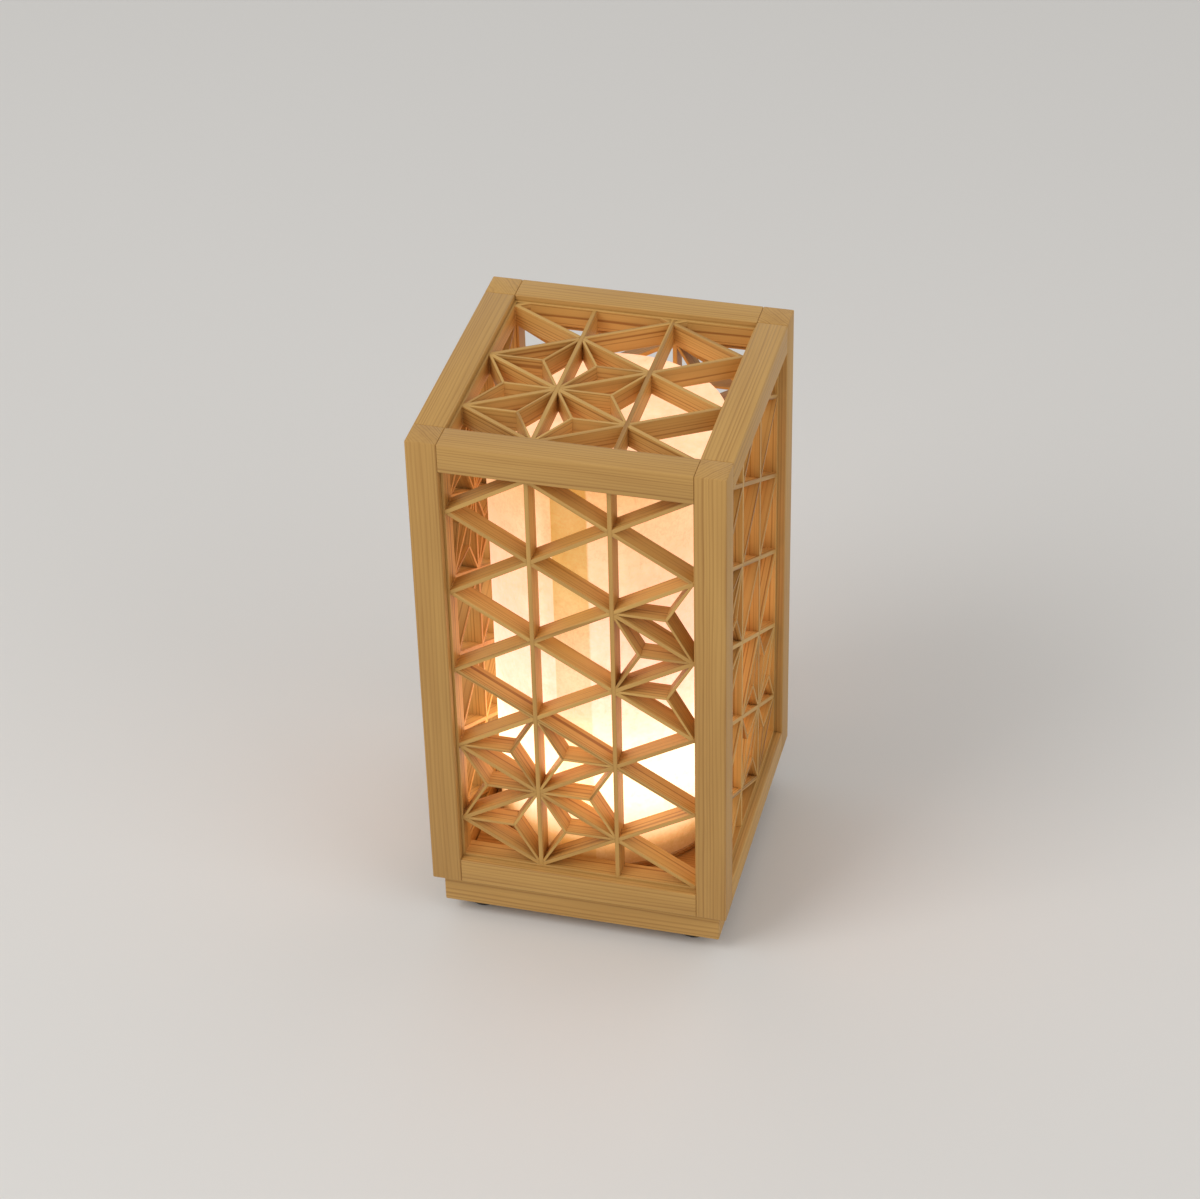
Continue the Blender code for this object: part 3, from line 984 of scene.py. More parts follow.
@dataclass(frozen=True)
class TimberFinish:
    """Planed wood with growth rings along each stick."""

    name: str
    pale: Colour
    dark: Colour
    ring_spacing: float
    ring_strength: float
    late_start: float
    shine: float = 0.35
    relief: float = 0.16
    relief_depth: float = 0.00005

    def make(self, groups: Groups) -> Material:
        """Builds the material.

        Args:
            groups: The shared node groups.

        Returns:
            The material.
        """
        material, w, shader = blank_material(self.name)
        growth = w.group(groups.growth)
        w.fill(
            growth,
            {
                "Grain": w.node("ShaderNodeAttribute", attribute_name=Timber.GRAIN).outputs["Vector"],
                "Tone": w.node("ShaderNodeAttribute", attribute_name=Timber.TONE).outputs["Fac"],
                "Ring Spacing": self.ring_spacing,
                "Ring Strength": self.ring_strength,
                "Late Start": self.late_start,
                "Pale": opaque(self.pale),
                "Dark": opaque(self.dark),
            },
        )
        w.fill(
            shader,
            {
                "Base Color": growth.outputs["Color"],
                "Roughness": growth.outputs["Roughness"],
                "Specular IOR Level": self.shine,
                "Normal": w.bump(growth.outputs["Height"], self.relief, self.relief_depth),
            },
        )
        return material


@dataclass(frozen=True)
class PaperLap:
    """Where the rolled sheet lies double, as angles from the front, and its belt glued to the ring.

    The lap's first edge is the sheet's outer end, which is sharp; its last edge shows softly through.
    The belt and the stops of the tint are shares of the sheet's height.
    """

    first: float = math.radians(-12.5)
    last: float = math.radians(5.3)
    sharp: float = 0.004
    soft_before: float = 0.016
    soft_after: float = 0.008
    # Painted shade: the paper's own colour darkens over the lap, as less lamp light comes through two
    # sheets
    shade: float = 0.45
    tint: Stops = (
        (0.40, (0.90, 0.87, 0.75)),
        (0.58, (0.74, 0.77, 0.56)),
        (0.72, (0.63, 0.66, 0.28)),
        (0.92, (0.62, 0.57, 0.13)),
    )
    belt: Range = (0.03, 0.08)
    belt_shade: float = 0.60

    def mask(self, w: Wiring, axes: Node) -> Socket:
        """The lap's share at each place of the paper.

        Args:
            w: The material's wiring.
            axes: The place on the paper, parted into its axes.

        Returns:
            A mask from 0 to 1.
        """
        forward = w.math("MULTIPLY", axes.outputs["Y"], -1.0)
        angle = w.math("ARCTAN2", axes.outputs["X"], forward)
        begins = w.spread(angle, self.first - self.sharp, self.first + self.sharp)
        ends = w.spread(angle, self.last - self.soft_before, self.last + self.soft_after, 1.0, 0.0)
        return w.math("MULTIPLY", begins, ends)


@dataclass(frozen=True)
class WashiFinish:
    """Handmade paper lit from behind, with its light in stops from its lower to its upper edge."""

    name: str
    glow: Stops
    strength: float
    low: float
    high: float
    lap: PaperLap | None
    paper: Colour = (0.66, 0.57, 0.43)
    bast: Colour = (0.46, 0.30, 0.13)
    thick_light: Colour = (0.50, 0.36, 0.16)
    cloud_range: Range = (0.3, 0.7)
    cloud_share: float = 0.22
    fibre_share: float = 0.13
    fibre_height: float = 0.6
    roughness: float = 0.82
    shine: float = 0.2
    relief: float = 0.22
    relief_depth: float = 0.00012

    def make(self, groups: Groups) -> Material:
        """Builds the material.

        Args:
            groups: The shared node groups.

        Returns:
            The material.
        """
        material, w, shader = blank_material(self.name)
        place = w.place()
        axes = w.split(place)
        sheet = w.group(groups.fibre)
        w.feed(sheet.inputs["Place"], place)
        fibre, cloud = sheet.outputs["Fibre"], sheet.outputs["Cloud"]
        rise = w.math("DIVIDE", w.math("SUBTRACT", axes.outputs["Z"], self.low), self.high - self.low)
        dim = w.math("MULTIPLY", fibre, self.fibre_share)
        dim = w.math("MULTIPLY_ADD", w.spread(cloud, *self.cloud_range), self.cloud_share, dim)
        light = w.mix(dim, WHITE, self.thick_light)
        if self.lap is not None:
            double = self.lap.mask(w, axes)
            # Painted shade over the lap, where the double sheet lets less of the lamp's light through
            dim = w.math("MULTIPLY_ADD", double, self.lap.shade, dim)
            light = w.mix(double, light, w.mix(1.0, light, w.ramp(rise, self.lap.tint), "MULTIPLY"))
            glued = w.spread(rise, *self.lap.belt, 1.0, 0.0)
            dim = w.math("MULTIPLY_ADD", glued, self.lap.belt_shade, dim, clamp=True)
        height = w.math("MULTIPLY_ADD", fibre, self.fibre_height, cloud)
        w.fill(
            shader,
            {
                "Base Color": w.mix(dim, self.paper, self.bast),
                "Emission Color": w.mix(1.0, w.ramp(rise, self.glow), light, "MULTIPLY"),
                "Emission Strength": self.strength,
                "Roughness": self.roughness,
                "Specular IOR Level": self.shine,
                "Normal": w.bump(height, self.relief, self.relief_depth),
            },
        )
        return material


@dataclass(frozen=True)
class PlainFinish:
    """A moulded, rubber or metal surface with a fine texture."""

    name: str
    colour: Colour
    second: Colour
    roughness: float
    metallic: float
    grain_size: float
    relief: float
    glow: Colour | None = None
    glow_strength: float = 0.0
    tone_range: Range = (0.35, 0.65)
    rough_spread: float = 0.06

    def make(self, groups: Groups) -> Material:
        """Builds the material.

        Args:
            groups: The shared node groups.

        Returns:
            The material.
        """
        material, w, shader = blank_material(self.name)
        speckle = w.group(groups.speckle)
        w.fill(speckle, {"Place": w.place(), "Grain Size": self.grain_size})
        share = w.spread(speckle.outputs["Share"], *self.tone_range)
        smoothest = self.roughness - self.rough_spread
        w.fill(
            shader,
            {
                "Base Color": w.mix(share, self.colour, self.second),
                "Roughness": w.math("MULTIPLY_ADD", share, 2 * self.rough_spread, smoothest),
                "Metallic": self.metallic,
                "Normal": w.bump(speckle.outputs["Height"], self.relief, self.grain_size),
            },
        )
        if self.glow is not None:
            w.fill(shader, {"Emission Color": opaque(self.glow), "Emission Strength": self.glow_strength})
        return material


LAP = PaperLap()
# The lit paper's light from its lower to its upper edge, with the ring's shade painted in at the bottom
TUBE_GLOW = (
    (0.000, (0.068, 0.024, 0.005)),
    (0.030, (0.111, 0.041, 0.006)),
    (0.055, (0.270, 0.120, 0.030)),
    (0.080, (0.420, 0.250, 0.122)),
    (0.130, (0.680, 0.440, 0.305)),
    (0.180, (1.000, 0.630, 0.390)),
    (0.270, (1.000, 0.630, 0.405)),
    (0.420, (0.568, 0.318, 0.234)),
    (0.600, (0.457, 0.250, 0.179)),
    (0.750, (0.400, 0.211, 0.124)),
    (1.000, (0.318, 0.150, 0.049)),
)
LID_GLOW = ((0.0, (0.56, 0.322, 0.192)), (1.0, (0.56, 0.322, 0.192)))

HINOKI_FRAME = TimberFinish(
    "hinoki_frame",
    pale=(0.585, 0.336, 0.098),
    dark=(0.310, 0.138, 0.029),
    ring_spacing=0.0014,
    ring_strength=0.54,
    late_start=0.34,
)
HINOKI_END_GRAIN = TimberFinish(
    "hinoki_end_grain",
    pale=(0.42, 0.228, 0.074),
    dark=(0.22, 0.10, 0.028),
    ring_spacing=0.0011,
    ring_strength=0.9,
    late_start=0.3,
)
HINOKI_KUMIKO = TimberFinish(
    "hinoki_kumiko",
    pale=(0.630, 0.370, 0.105),
    dark=(0.300, 0.128, 0.025),
    ring_spacing=0.0021,
    ring_strength=0.95,
    late_start=0.56,
)
WASHI_TUBE = WashiFinish(
    "washi_tube",
    glow=TUBE_GLOW,
    strength=2.6,
    low=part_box("paper_tube")[0].z,
    high=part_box("paper_tube")[1].z,
    lap=LAP,
)
WASHI_LID = WashiFinish("washi_lid", glow=LID_GLOW, strength=1.8, low=0.0, high=1.0, lap=None)
DARK_RUBBER = PlainFinish(
    "dark_rubber",
    colour=(0.016, 0.015, 0.014),
    second=(0.03, 0.028, 0.026),
    roughness=0.72,
    metallic=0.0,
    grain_size=0.0004,
    relief=0.25,
)
WHITE_PLASTIC = PlainFinish(
    "white_plastic",
    colour=(0.78, 0.77, 0.73),
    second=(0.72, 0.71, 0.66),
    roughness=0.34,
    metallic=0.0,
    grain_size=0.0006,
    relief=0.06,
)
PLATED_NICKEL = PlainFinish(
    "plated_nickel",
    colour=(0.60, 0.57, 0.52),
    second=(0.48, 0.45, 0.40),
    roughness=0.3,
    metallic=1.0,
    grain_size=0.0003,
    relief=0.08,
)
PLAIN_BRASS = PlainFinish(
    "plain_brass",
    colour=(0.62, 0.42, 0.15),
    second=(0.46, 0.29, 0.10),
    roughness=0.36,
    metallic=1.0,
    grain_size=0.0003,
    relief=0.08,
)
OPAL_GLOBE = PlainFinish(
    "opal_globe",
    colour=(0.86, 0.84, 0.78),
    second=(0.84, 0.81, 0.74),
    roughness=0.3,
    metallic=0.0,
    grain_size=0.0008,
    relief=0.04,
    glow=(1.0, 0.78, 0.46),
    glow_strength=1.2,
)
OPAL_HOUSING = PlainFinish(
    "opal_housing",
    colour=(0.86, 0.84, 0.78),
    second=(0.82, 0.80, 0.74),
    roughness=0.36,
    metallic=0.0,
    grain_size=0.0006,
    relief=0.06,
)


class Finishes:
    """All the lamp's materials, made once."""

    def __init__(self) -> None:
        """Builds the shared node groups and the materials."""
        groups = Groups(GrowthPattern().group(), FibrePattern().group(), SpecklePattern().group())
        self.frame = HINOKI_FRAME.make(groups)
        self.end = HINOKI_END_GRAIN.make(groups)
        self.strip = HINOKI_KUMIKO.make(groups)
        self.tube = WASHI_TUBE.make(groups)
        self.lid = WASHI_LID.make(groups)
        self.rubber = DARK_RUBBER.make(groups)
        self.plastic = WHITE_PLASTIC.make(groups)
        self.nickel = PLATED_NICKEL.make(groups)
        self.brass = PLAIN_BRASS.make(groups)
        self.opal = OPAL_GLOBE.make(groups)
        self.housing = OPAL_HOUSING.make(groups)


@dataclass
class HoodFrame:
    """Four posts and eight rails, with eased arrises and tight shoulders."""

    finishes: Finishes
    ease: float = 0.0006
    ease_steps: int = 3
    end_ease: float = 0.0005
    end_steps: int = 2
    ring_lean: Range = (0.7, 1.3)
    draw: random.Random = field(default_factory=lambda: random.Random(41))

    def build(self) -> None:
        """Makes every post and rail."""
        self.posts()
        for level in Level:
            self.rails(level)

    def stick(self, width: float, thick: float, length: float) -> Piece:
        """A square stick along Y with eased edges.

        Args:
            width: Its size on X.
            thick: Its size on Z.
            length: Its length on Y.

        Returns:
            The stick, centred on the origin, its ends with the second material.
        """
        half = length / 2

        def at_end(a: Vector, b: Vector) -> bool:
            """Whether an edge goes round one of the stick's ends."""
            return abs(abs(a.y) - half) < TOUCH and abs(a.y - b.y) < TOUCH

        obj = Bench.prism(rectangle(-width / 2, -thick / 2, width / 2, thick / 2), -half, half)
        Bench.ease(obj, self.ease, self.ease_steps, lambda a, b: abs(a.y - b.y) > half)
        Bench.ease(obj, self.end_ease, self.end_steps, at_end)
        Timber.part_ends(obj, ALONG_Y)
        Bench.smoothed(obj, SOFT_PLANED)
        return obj

    def fit(self, stick: Piece, place: Matrix, node: str) -> None:
        """Gives a copy of a stick its own wood, sets it in its place and finishes it.

        Args:
            stick: The stick.
            place: Where the copy goes.
            node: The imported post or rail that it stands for.
        """
        obj = Bench.copied(stick)
        lean = self.draw.uniform(*self.ring_lean)
        way = self.draw.choice((-1.0, 1.0))
        Timber.mark(obj, ALONG_Y, Vector((1, 0, way * lean)), self.draw)
        Bench.moved(obj, place)
        woods = (self.finishes.frame, self.finishes.end)
        finished(obj, "hinoki_" + node, Body.HOOD, woods, (node,))

    def posts(self) -> None:
        """Makes the four posts, upright in their corners."""
        size = span("post_" + CORNERS[0])
        stick = self.stick(size.x, size.y, size.z)
        for corner in CORNERS:
            node = "post_" + corner
            self.fit(stick, Matrix.Translation(middle(node)) @ rotation(QUARTER, "X"), node)
        Bench.discard(stick)

    def rails(self, level: Level) -> None:
        """Makes four rails, each between its two posts.

        Args:
            level: Whether they are the top or the bottom rails.
        """
        front = f"{level.value}_rail_front"
        size = span(front)
        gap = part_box("post_front_right")[0].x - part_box("post_front_left")[1].x
        stick = self.stick(size.y, size.z, gap - 2 * TOUCH)
        for side in WALLS:
            place = side.turn() @ Matrix.Translation(middle(front)) @ rotation(QUARTER, "Z")
            self.fit(stick, place, f"{level.value}_rail_{side.value}")
        Bench.discard(stick)


@dataclass
class KumikoPanel:
    """One opening's lattice with its lap joints, asanoha leaves and border strips.

    A lattice node is named by its column and its height in pitches. Nodes stand at whole pitches in
    every second column, of which whole_column is one, and at half pitches in the others. Strips and
    leaves start too long, by strip_over and leaf_over times their thickness, and are then cut to fit.
    """

    side: Side
    whole_column: int
    flowers: tuple[tuple[int, int], ...]
    finishes: Finishes
    columns: int = 3
    rows: int = 5
    strip: float = 0.0021
    strip_over: int = 3
    leaf: float = 0.0013
    leaf_over: int = 2
    ease: float = 0.00016
    ring_lean: Range = (0.15, 0.45)
    least_run: float = 0.1
    pitch: float = field(init=False)
    column: float = field(init=False)
    depth: float = field(init=False)
    left: float = field(init=False)
    base: float = field(init=False)
    reach: float = field(init=False)
    edge: float = field(init=False)
    low: float = field(init=False)
    high: float = field(init=False)
    opening: Outline = field(init=False)
    place: Matrix = field(init=False)
    draw: random.Random = field(init=False)

    def __post_init__(self) -> None:
        """Reads the opening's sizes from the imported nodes."""
        low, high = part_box("lattice_front")
        self.pitch = (high.z - low.z) / self.rows
        self.column = (high.x - low.x) / self.columns
        self.depth = high.y - low.y
        self.left = low.x
        self.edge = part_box("border_front_right")[0].x - HAIRLINE
        self.draw = random.Random("kumiko " + self.side.value)
        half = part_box("post_front_right")[0].x
        if self.side is Side.TOP:
            low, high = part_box("lattice_top")
            self.base = low.y
            self.reach = (high.y - low.y) / self.pitch
            self.low, self.high = -self.edge, self.edge
            self.opening = rectangle(-half, -half, half, half)
            self.place = Matrix.Translation((0, 0, high.z)) @ rotation(-QUARTER, "X")
        else:
            self.base = low.z
            self.reach = (high.z - low.z) / self.pitch
            self.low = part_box("border_front_bottom")[1].z + HAIRLINE
            self.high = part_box("border_front_top")[0].z - HAIRLINE
            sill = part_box("bottom_rail_front")[1].z
            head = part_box("top_rail_front")[0].z
            self.opening = rectangle(-half, sill, half, head)
            self.place = self.side.turn() @ Matrix.Translation((0, low.y, 0))

    def build(self) -> None:
        """Makes the lattice with its leaves, and the border."""
        sticks = self.lattice()
        for column, row in self.flowers:
            sticks += self.flower(column, row)
        name = self.side.value
        self.dress(sticks, f"kumiko_{name}", (f"lattice_{name}",))
        edges = [f"border_{name}_{edge}" for edge in BORDER_EDGES]
        self.dress(self.border(), f"border_strips_{name}", edges)

    def dress(self, sticks: Sequence[Piece], name: str, nodes: Sequence[str]) -> None:
        """Joins strips, sets them into the opening and finishes them.

        Args:
            sticks: The strips.
            name: The piece's name.
            nodes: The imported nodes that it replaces.
        """
        obj = Bench.joined(sticks)
        Bench.moved(obj, self.place)
        finished(obj, name, Body.HOOD, (self.finishes.strip,), nodes)

    def node(self, column: float, row: float) -> Vector:
        """A lattice node's place in the panel's plane."""
        return Vector((self.left + column * self.column, self.base + row * self.pitch))

    def trimmed(self, outline: Outline, over: float = 0.0) -> Outline:
        """Cuts an outline off at the border strips.

        Args:
            outline: The outline.
            over: How far past the border strips it may go.

        Returns:
            The outline that is left.
        """
        for point, away in (
            ((-self.edge - over, 0.0), (-1.0, 0.0)),
            ((self.edge + over, 0.0), (1.0, 0.0)),
            ((0.0, self.low - over), (0.0, -1.0)),
            ((0.0, self.high + over), (0.0, 1.0)),
        ):
            outline = clipped(outline, Vector(point), Vector(away))
        return outline

    def runs(self, family: Family) -> list[tuple[Vector, Vector]]:
        """The centre lines of one family's strips.

        Args:
            family: The family.

        Returns:
            The two ends of each line.
        """
        if family is Family.UPRIGHT:
            return [(self.node(c, 0), self.node(c, self.reach)) for c in range(1, self.columns)]
        slope = family.value
        first = 0.0 if self.whole_column == 0 else 0.5
        count = self.columns + math.ceil(self.reach)
        lines: list[tuple[Vector, Vector]] = []
        for step in range(-count, count):
            start = step + first
            inside = sorted((-start / slope, (self.reach - start) / slope))
            low = max(0.0, inside[0])
            high = min(float(self.columns), inside[1])
            if high - low > self.least_run:
                first_end = self.node(low, start + slope * low)
                lines.append((first_end, self.node(high, start + slope * high)))
        return lines

    def lean(self) -> float:
        """A slight lean of the growth rings, drawn anew for each strip."""
        return self.draw.uniform(*self.ring_lean) * self.draw.choice((-1.0, 1.0))

    def stick(self, outline: Outline, along: Vector) -> Piece:
        """A strip as deep as the panel with eased front and back edges and its wood marked.

        Args:
            outline: The strip's outline in the panel's plane.
            along: Direction of its grain there.

        Returns:
            The strip.
        """
        obj = Bench.prism(outline, 0.0, self.depth)
        Bench.ease(obj, self.ease, 1, lambda a, b: abs(a.y - b.y) < TOUCH)
        run = Vector((along.x, 0.0, along.y))
        across = Vector((-run.z, 0.0, run.x)).normalized()
        Timber.mark(obj, run, ALONG_Y + across * self.lean(), self.draw)
        return obj

    def strips(self, family: Family) -> Piece:
        """The whole strips of one family, before their laps are cut.

        Args:
            family: The family.

        Returns:
            The strips in one object.
        """
        made: list[Piece] = []
        for start, end in self.runs(family):
            outline = strip_outline(start, end, self.strip, self.strip_over * self.strip)
            made.append(self.stick(self.trimmed(outline), end - start))
        return Bench.joined(made)

    def laps(self, family: Family, low: float, high: float) -> Piece:
        """A cutter for the laps that one family's strips need in the others.

        Args:
            family: The family.
            low: The depth that the laps start at.
            high: The depth that they end at.

        Returns:
            The cutter.
        """
        made: list[Piece] = []
        room = self.strip + 2 * HAIRLINE
        for start, end in self.runs(family):
            outline = strip_outline(start, end, room, self.strip_over * self.strip)
            made.append(Bench.prism(self.trimmed(outline, self.strip), low, high))
        return Bench.joined(made)

    def lattice(self) -> list[Piece]:
        """The three families lapped into each other, a third of the depth each.

        Returns:
            One object for each family.
        """
        front = -self.strip
        first = self.depth / 3
        second = self.depth * 2 / 3
        back = self.depth + self.strip
        cuts = {
            Family.UPRIGHT: ((Family.RISING, first, second), (Family.FALLING, second, back)),
            Family.RISING: (
                (Family.UPRIGHT, front, first),
                (Family.FALLING, second, back),
                (Family.UPRIGHT, second, back),
            ),
            Family.FALLING: ((Family.UPRIGHT, front, second), (Family.RISING, front, second)),
        }
        made: list[Piece] = []
        for family, laps in cuts.items():
            strips = self.strips(family)
            for other, low, high in laps:
                Bench.cut(strips, self.laps(other, low, high))
            self.remark(strips, family)
            made.append(strips)
        return made

    def remark(self, strips: Piece, family: Family) -> None:
        """Marks the wood of a family's strips again, because the cuts blur its first marks.

        Args:
            strips: The strips with their laps cut.
            family: Their family.
        """
        Timber.erase(strips)
        lines = self.runs(family)
        run = (lines[0][1] - lines[0][0]).normalized()
        side = Vector((-run.y, run.x))
        offsets = [start.dot(side) for start, _ in lines]

        def nearest(point: Vector) -> int:
            """The strip that a point is on."""
            place = Vector((point.x, point.z)).dot(side)
            return min(range(len(offsets)), key=lambda i: abs(offsets[i] - place))

        lean = self.lean()
        along = Vector((run.x, 0.0, run.y))
        Timber.mark(strips, along, Vector((side.x * lean, 1.0, side.y * lean)), self.draw, nearest)

    def flower(self, column: int, row: int) -> list[Piece]:
        """The leaves in each whole triangle round a node.

        Args:
            column: The node's column.
            row: The node's height in pitches.

        Returns:
            Three leaves for each triangle.
        """
        around = (
            (column, row + 1),
            (column + 1, row + 0.5),
            (column + 1, row - 0.5),
            (column, row - 1),
            (column - 1, row - 0.5),
            (column - 1, row + 0.5),
        )
        leaves: list[Piece] = []
        for i, first in enumerate(around):
            corners = (first, around[(i + 1) % len(around)], (column, row))
            if all(0 <= c <= self.columns and 0 <= r <= self.reach for c, r in corners):
                for turn in range(len(corners)):
                    leaves.append(self.leaf_stick(corners[turn:] + corners[:turn]))
        return leaves

    def on_border(self, first: tuple[float, float], second: tuple[float, float]) -> bool:
        """Whether a triangle's side lies along the border, where no lattice strip runs."""
        return first[0] == second[0] and first[0] in (0, self.columns)

    def leaf_stick(self, corners: tuple[tuple[float, float], ...]) -> Piece:
        """The leaf from a triangle's middle to the first of its corners.

        Args:
            corners: The triangle's corners as (column, row).

        Returns:
            The leaf, pointed to fit the corner and mitred against its two neighbours.
        """
        points = [self.node(*corner) for corner in corners]
        centre = (points[0] + points[1] + points[2]) / 3
        tip = points[0]
        run = (tip - centre).normalized()
        outline = strip_outline(centre, tip, self.leaf, self.leaf_over * self.leaf)
        for other, corner in zip(points[1:], corners[1:]):
            half_way = (run + (other - centre).normalized()).normalized()
            away = square_to(half_way, other - centre)
            outline = clipped(outline, centre - away * HAIRLINE, away)
            if not self.on_border(corners[0], corner):
                away = square_to((other - tip).normalized(), tip - centre)
                outline = clipped(outline, tip - away * (self.strip / 2 + HAIRLINE), away)
        return self.stick(self.trimmed(outline), run)

    def border(self) -> list[Piece]:
        """The strips that line the opening.

        Returns:
            The left, right, bottom and top strip.
        """
        left, sill = self.opening[0] + Vector((TOUCH, TOUCH))
        right, head = self.opening[2] - Vector((TOUCH, TOUCH))
        inner = self.edge + HAIRLINE
        bottom = self.low - HAIRLINE
        top = self.high + HAIRLINE
        upright = Vector((0, 1))
        level = Vector((1, 0))
        return [
            self.stick(rectangle(left, sill, -inner, head), upright),
            self.stick(rectangle(inner, sill, right, head), upright),
            self.stick(rectangle(-inner + TOUCH, sill, inner - TOUCH, bottom), level),
            self.stick(rectangle(-inner + TOUCH, top, inner - TOUCH, head), level),
        ]


@dataclass
class PaperShade:
    """The rolled washi tube with its lap, its lid, and the ring and hoop inside it.

    lid_round gives the lid's rolled rim as shares of lid_rim, in from its edge and down from its top.
    lid_under gives how far the lid's underside hangs at its rim and in its middle.
    """

    finishes: Finishes
    steps: int = 128
    around: int = 200
    upward: int = 40
    paper: float = 0.0003
    lap_gap: float = 0.00012
    lap_slope: float = math.radians(12)
    lid_overhang: float = 0.0005
    sheet_room: float = 0.0002
    ripple: float = 0.00010
    wave_seed: int = 7
    wave_count: int = 6
    wave_lobes: tuple[int, int] = (2, 7)
    wave_rise: Range = (8.0, 40.0)
    wave_start: Range = (0.0, 6.3)
    lid_rim: float = 0.0006
    lid_round: Profile = ((1.0, 0.0), (0.3, 0.12), (0.0, 0.5))
    lid_sag: float = 0.00035
    lid_rings: int = 9
    lid_lip: float = 0.00025
    lid_lip_width: float = 0.0004
    lid_under: Range = (0.0001, 0.0004)
    ring_step: float = 0.0013
    ring_wall: float = 0.009
    ring_soft: float = 0.0006
    ring_growth: Triple = (0.0, 1.0, 0.6)
    ring_seed: int = 11
    hoop_wall: float = 0.0022
    hoop_gap: float = 0.0002
    hoop_soft: float = 0.0004
    hoop_grain: Triple = (1.0, 0.2, 0.0)
    hoop_growth: Triple = (0.0, 0.3, 1.0)
    hoop_seed: int = 12

    def build(self) -> None:
        """Makes the paper and its wooden rings."""
        self.tube()
        self.lid()
        self.ring()
        self.hoop()

    def waves(self) -> list[tuple[int, float, float]]:
        """Draws the waves of the paper.

        Returns:
            Lobes round the tube, turn for each metre of height, and start of each wave.
        """
        draw = random.Random(self.wave_seed)
        return [
            (draw.randint(*self.wave_lobes), draw.uniform(*self.wave_rise), draw.uniform(*self.wave_start))
            for _ in range(self.wave_count)
        ]

    def tube(self) -> None:
        """Rolls a flat sheet so that its outer end laps over its inner end at the front."""
        low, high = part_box("paper_tube")
        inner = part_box("paper_top")[1].x - self.lid_overhang - self.sheet_room
        lap = LAP.last - LAP.first
        total = 2 * math.pi + lap
        step = self.paper + self.lap_gap
        waves = self.waves()
        half_grid = 0.5
        Bench.clear()
        bpy.ops.mesh.primitive_grid_add(
            x_subdivisions=self.around, y_subdivisions=self.upward, size=2 * half_grid
        )
        obj = bpy.context.object
        for vert in obj.data.vertices:
            along = (vert.co.x + half_grid) * total
            angle = LAP.first + along
            lift = step * min(1.0, max(0.0, 1.0 - (along - lap) / self.lap_slope))
            height = low.z + (vert.co.y + half_grid) * (high.z - low.z)
            wave = sum(math.sin(n * angle + k * height + p) for n, k, p in waves) / len(waves)
            radius = inner + lift + self.ripple * wave
            vert.co = (radius * math.sin(angle), -radius * math.cos(angle), height)
        Bench.apply(obj, "SOLIDIFY", thickness=self.paper, offset=0.0)
        with Bench.editing(obj):
            Bench.face_outward()
        Bench.smoothed(obj, SOFT_TURNED)
        finished(obj, "washi_tube_sheet", Body.BASE, (self.finishes.tube,), ("paper_tube",))

    def lid(self) -> None:
        """The flat paper lid with a softly rolled rim."""
        low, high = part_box("paper_top")
        radius, top = high.x, high.z
        rim = self.lid_rim
        flat = radius - rim
        profile = [(0.0, top - self.lid_sag)]
        for i in range(1, self.lid_rings):
            share = i / self.lid_rings
            profile.append((flat * share, top - self.lid_sag * (1 - share**2)))
        profile += [(radius - rim * inset, top - rim * drop) for inset, drop in self.lid_round]
        lip = low.z - self.lid_lip
        edge_under, middle_under = self.lid_under
        profile += [(radius, lip), (radius - self.lid_lip_width, lip)]
        profile += [(flat, low.z - edge_under), (0.0, low.z - middle_under)]
        obj = Bench.turned(profile, self.steps)
        finished(obj, "washi_lid_sheet", Body.BASE, (self.finishes.lid,), ("paper_top",))

    def ring(self) -> None:
        """The turned ring that the paper slides over."""
        low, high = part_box("shade_ring")
        flange = high.x
        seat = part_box("paper_tube")[0].z - TOUCH
        wall = flange - self.ring_step
        inner = wall - self.ring_wall
        soft = self.ring_soft
        profile = [
            (inner + soft, high.z),
            (wall - soft, high.z),
            (wall, high.z - soft),
            (wall, seat),
            (flange - soft, seat),
            (flange, seat - soft),
            (flange, low.z + soft),
            (flange - soft, low.z),
            (inner + soft, low.z),
            (inner, low.z + soft),
            (inner, high.z - soft),
        ]
        obj = Bench.turned(profile, self.steps, closed=True)
        Timber.mark(obj, ALONG_X, Vector(self.ring_growth), random.Random(self.ring_seed))
        wood = (self.finishes.frame,)
        finished(obj, "turned_shade_ring", Body.BASE, wood, ("shade_ring",))

    def hoop(self) -> None:
        """The bent hoop that keeps the paper round under its lid."""
        low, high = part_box("shade_hoop")
        outer = high.x
        inner = outer - self.hoop_wall
        top = high.z - self.hoop_gap
        soft = self.hoop_soft
        profile = [
            (inner + soft, top),
            (outer - soft, top),
            (outer, top - soft),
            (outer, low.z + soft),
            (outer - soft, low.z),
            (inner + soft, low.z),
            (inner, low.z + soft),
            (inner, top - soft),
        ]
        obj = Bench.turned(profile, self.steps, closed=True)
        draw = random.Random(self.hoop_seed)
        Timber.mark(obj, Vector(self.hoop_grain), Vector(self.hoop_growth), draw)
        wood = (self.finishes.frame,)
        finished(obj, "bent_shade_hoop", Body.BASE, wood, ("shade_hoop",))


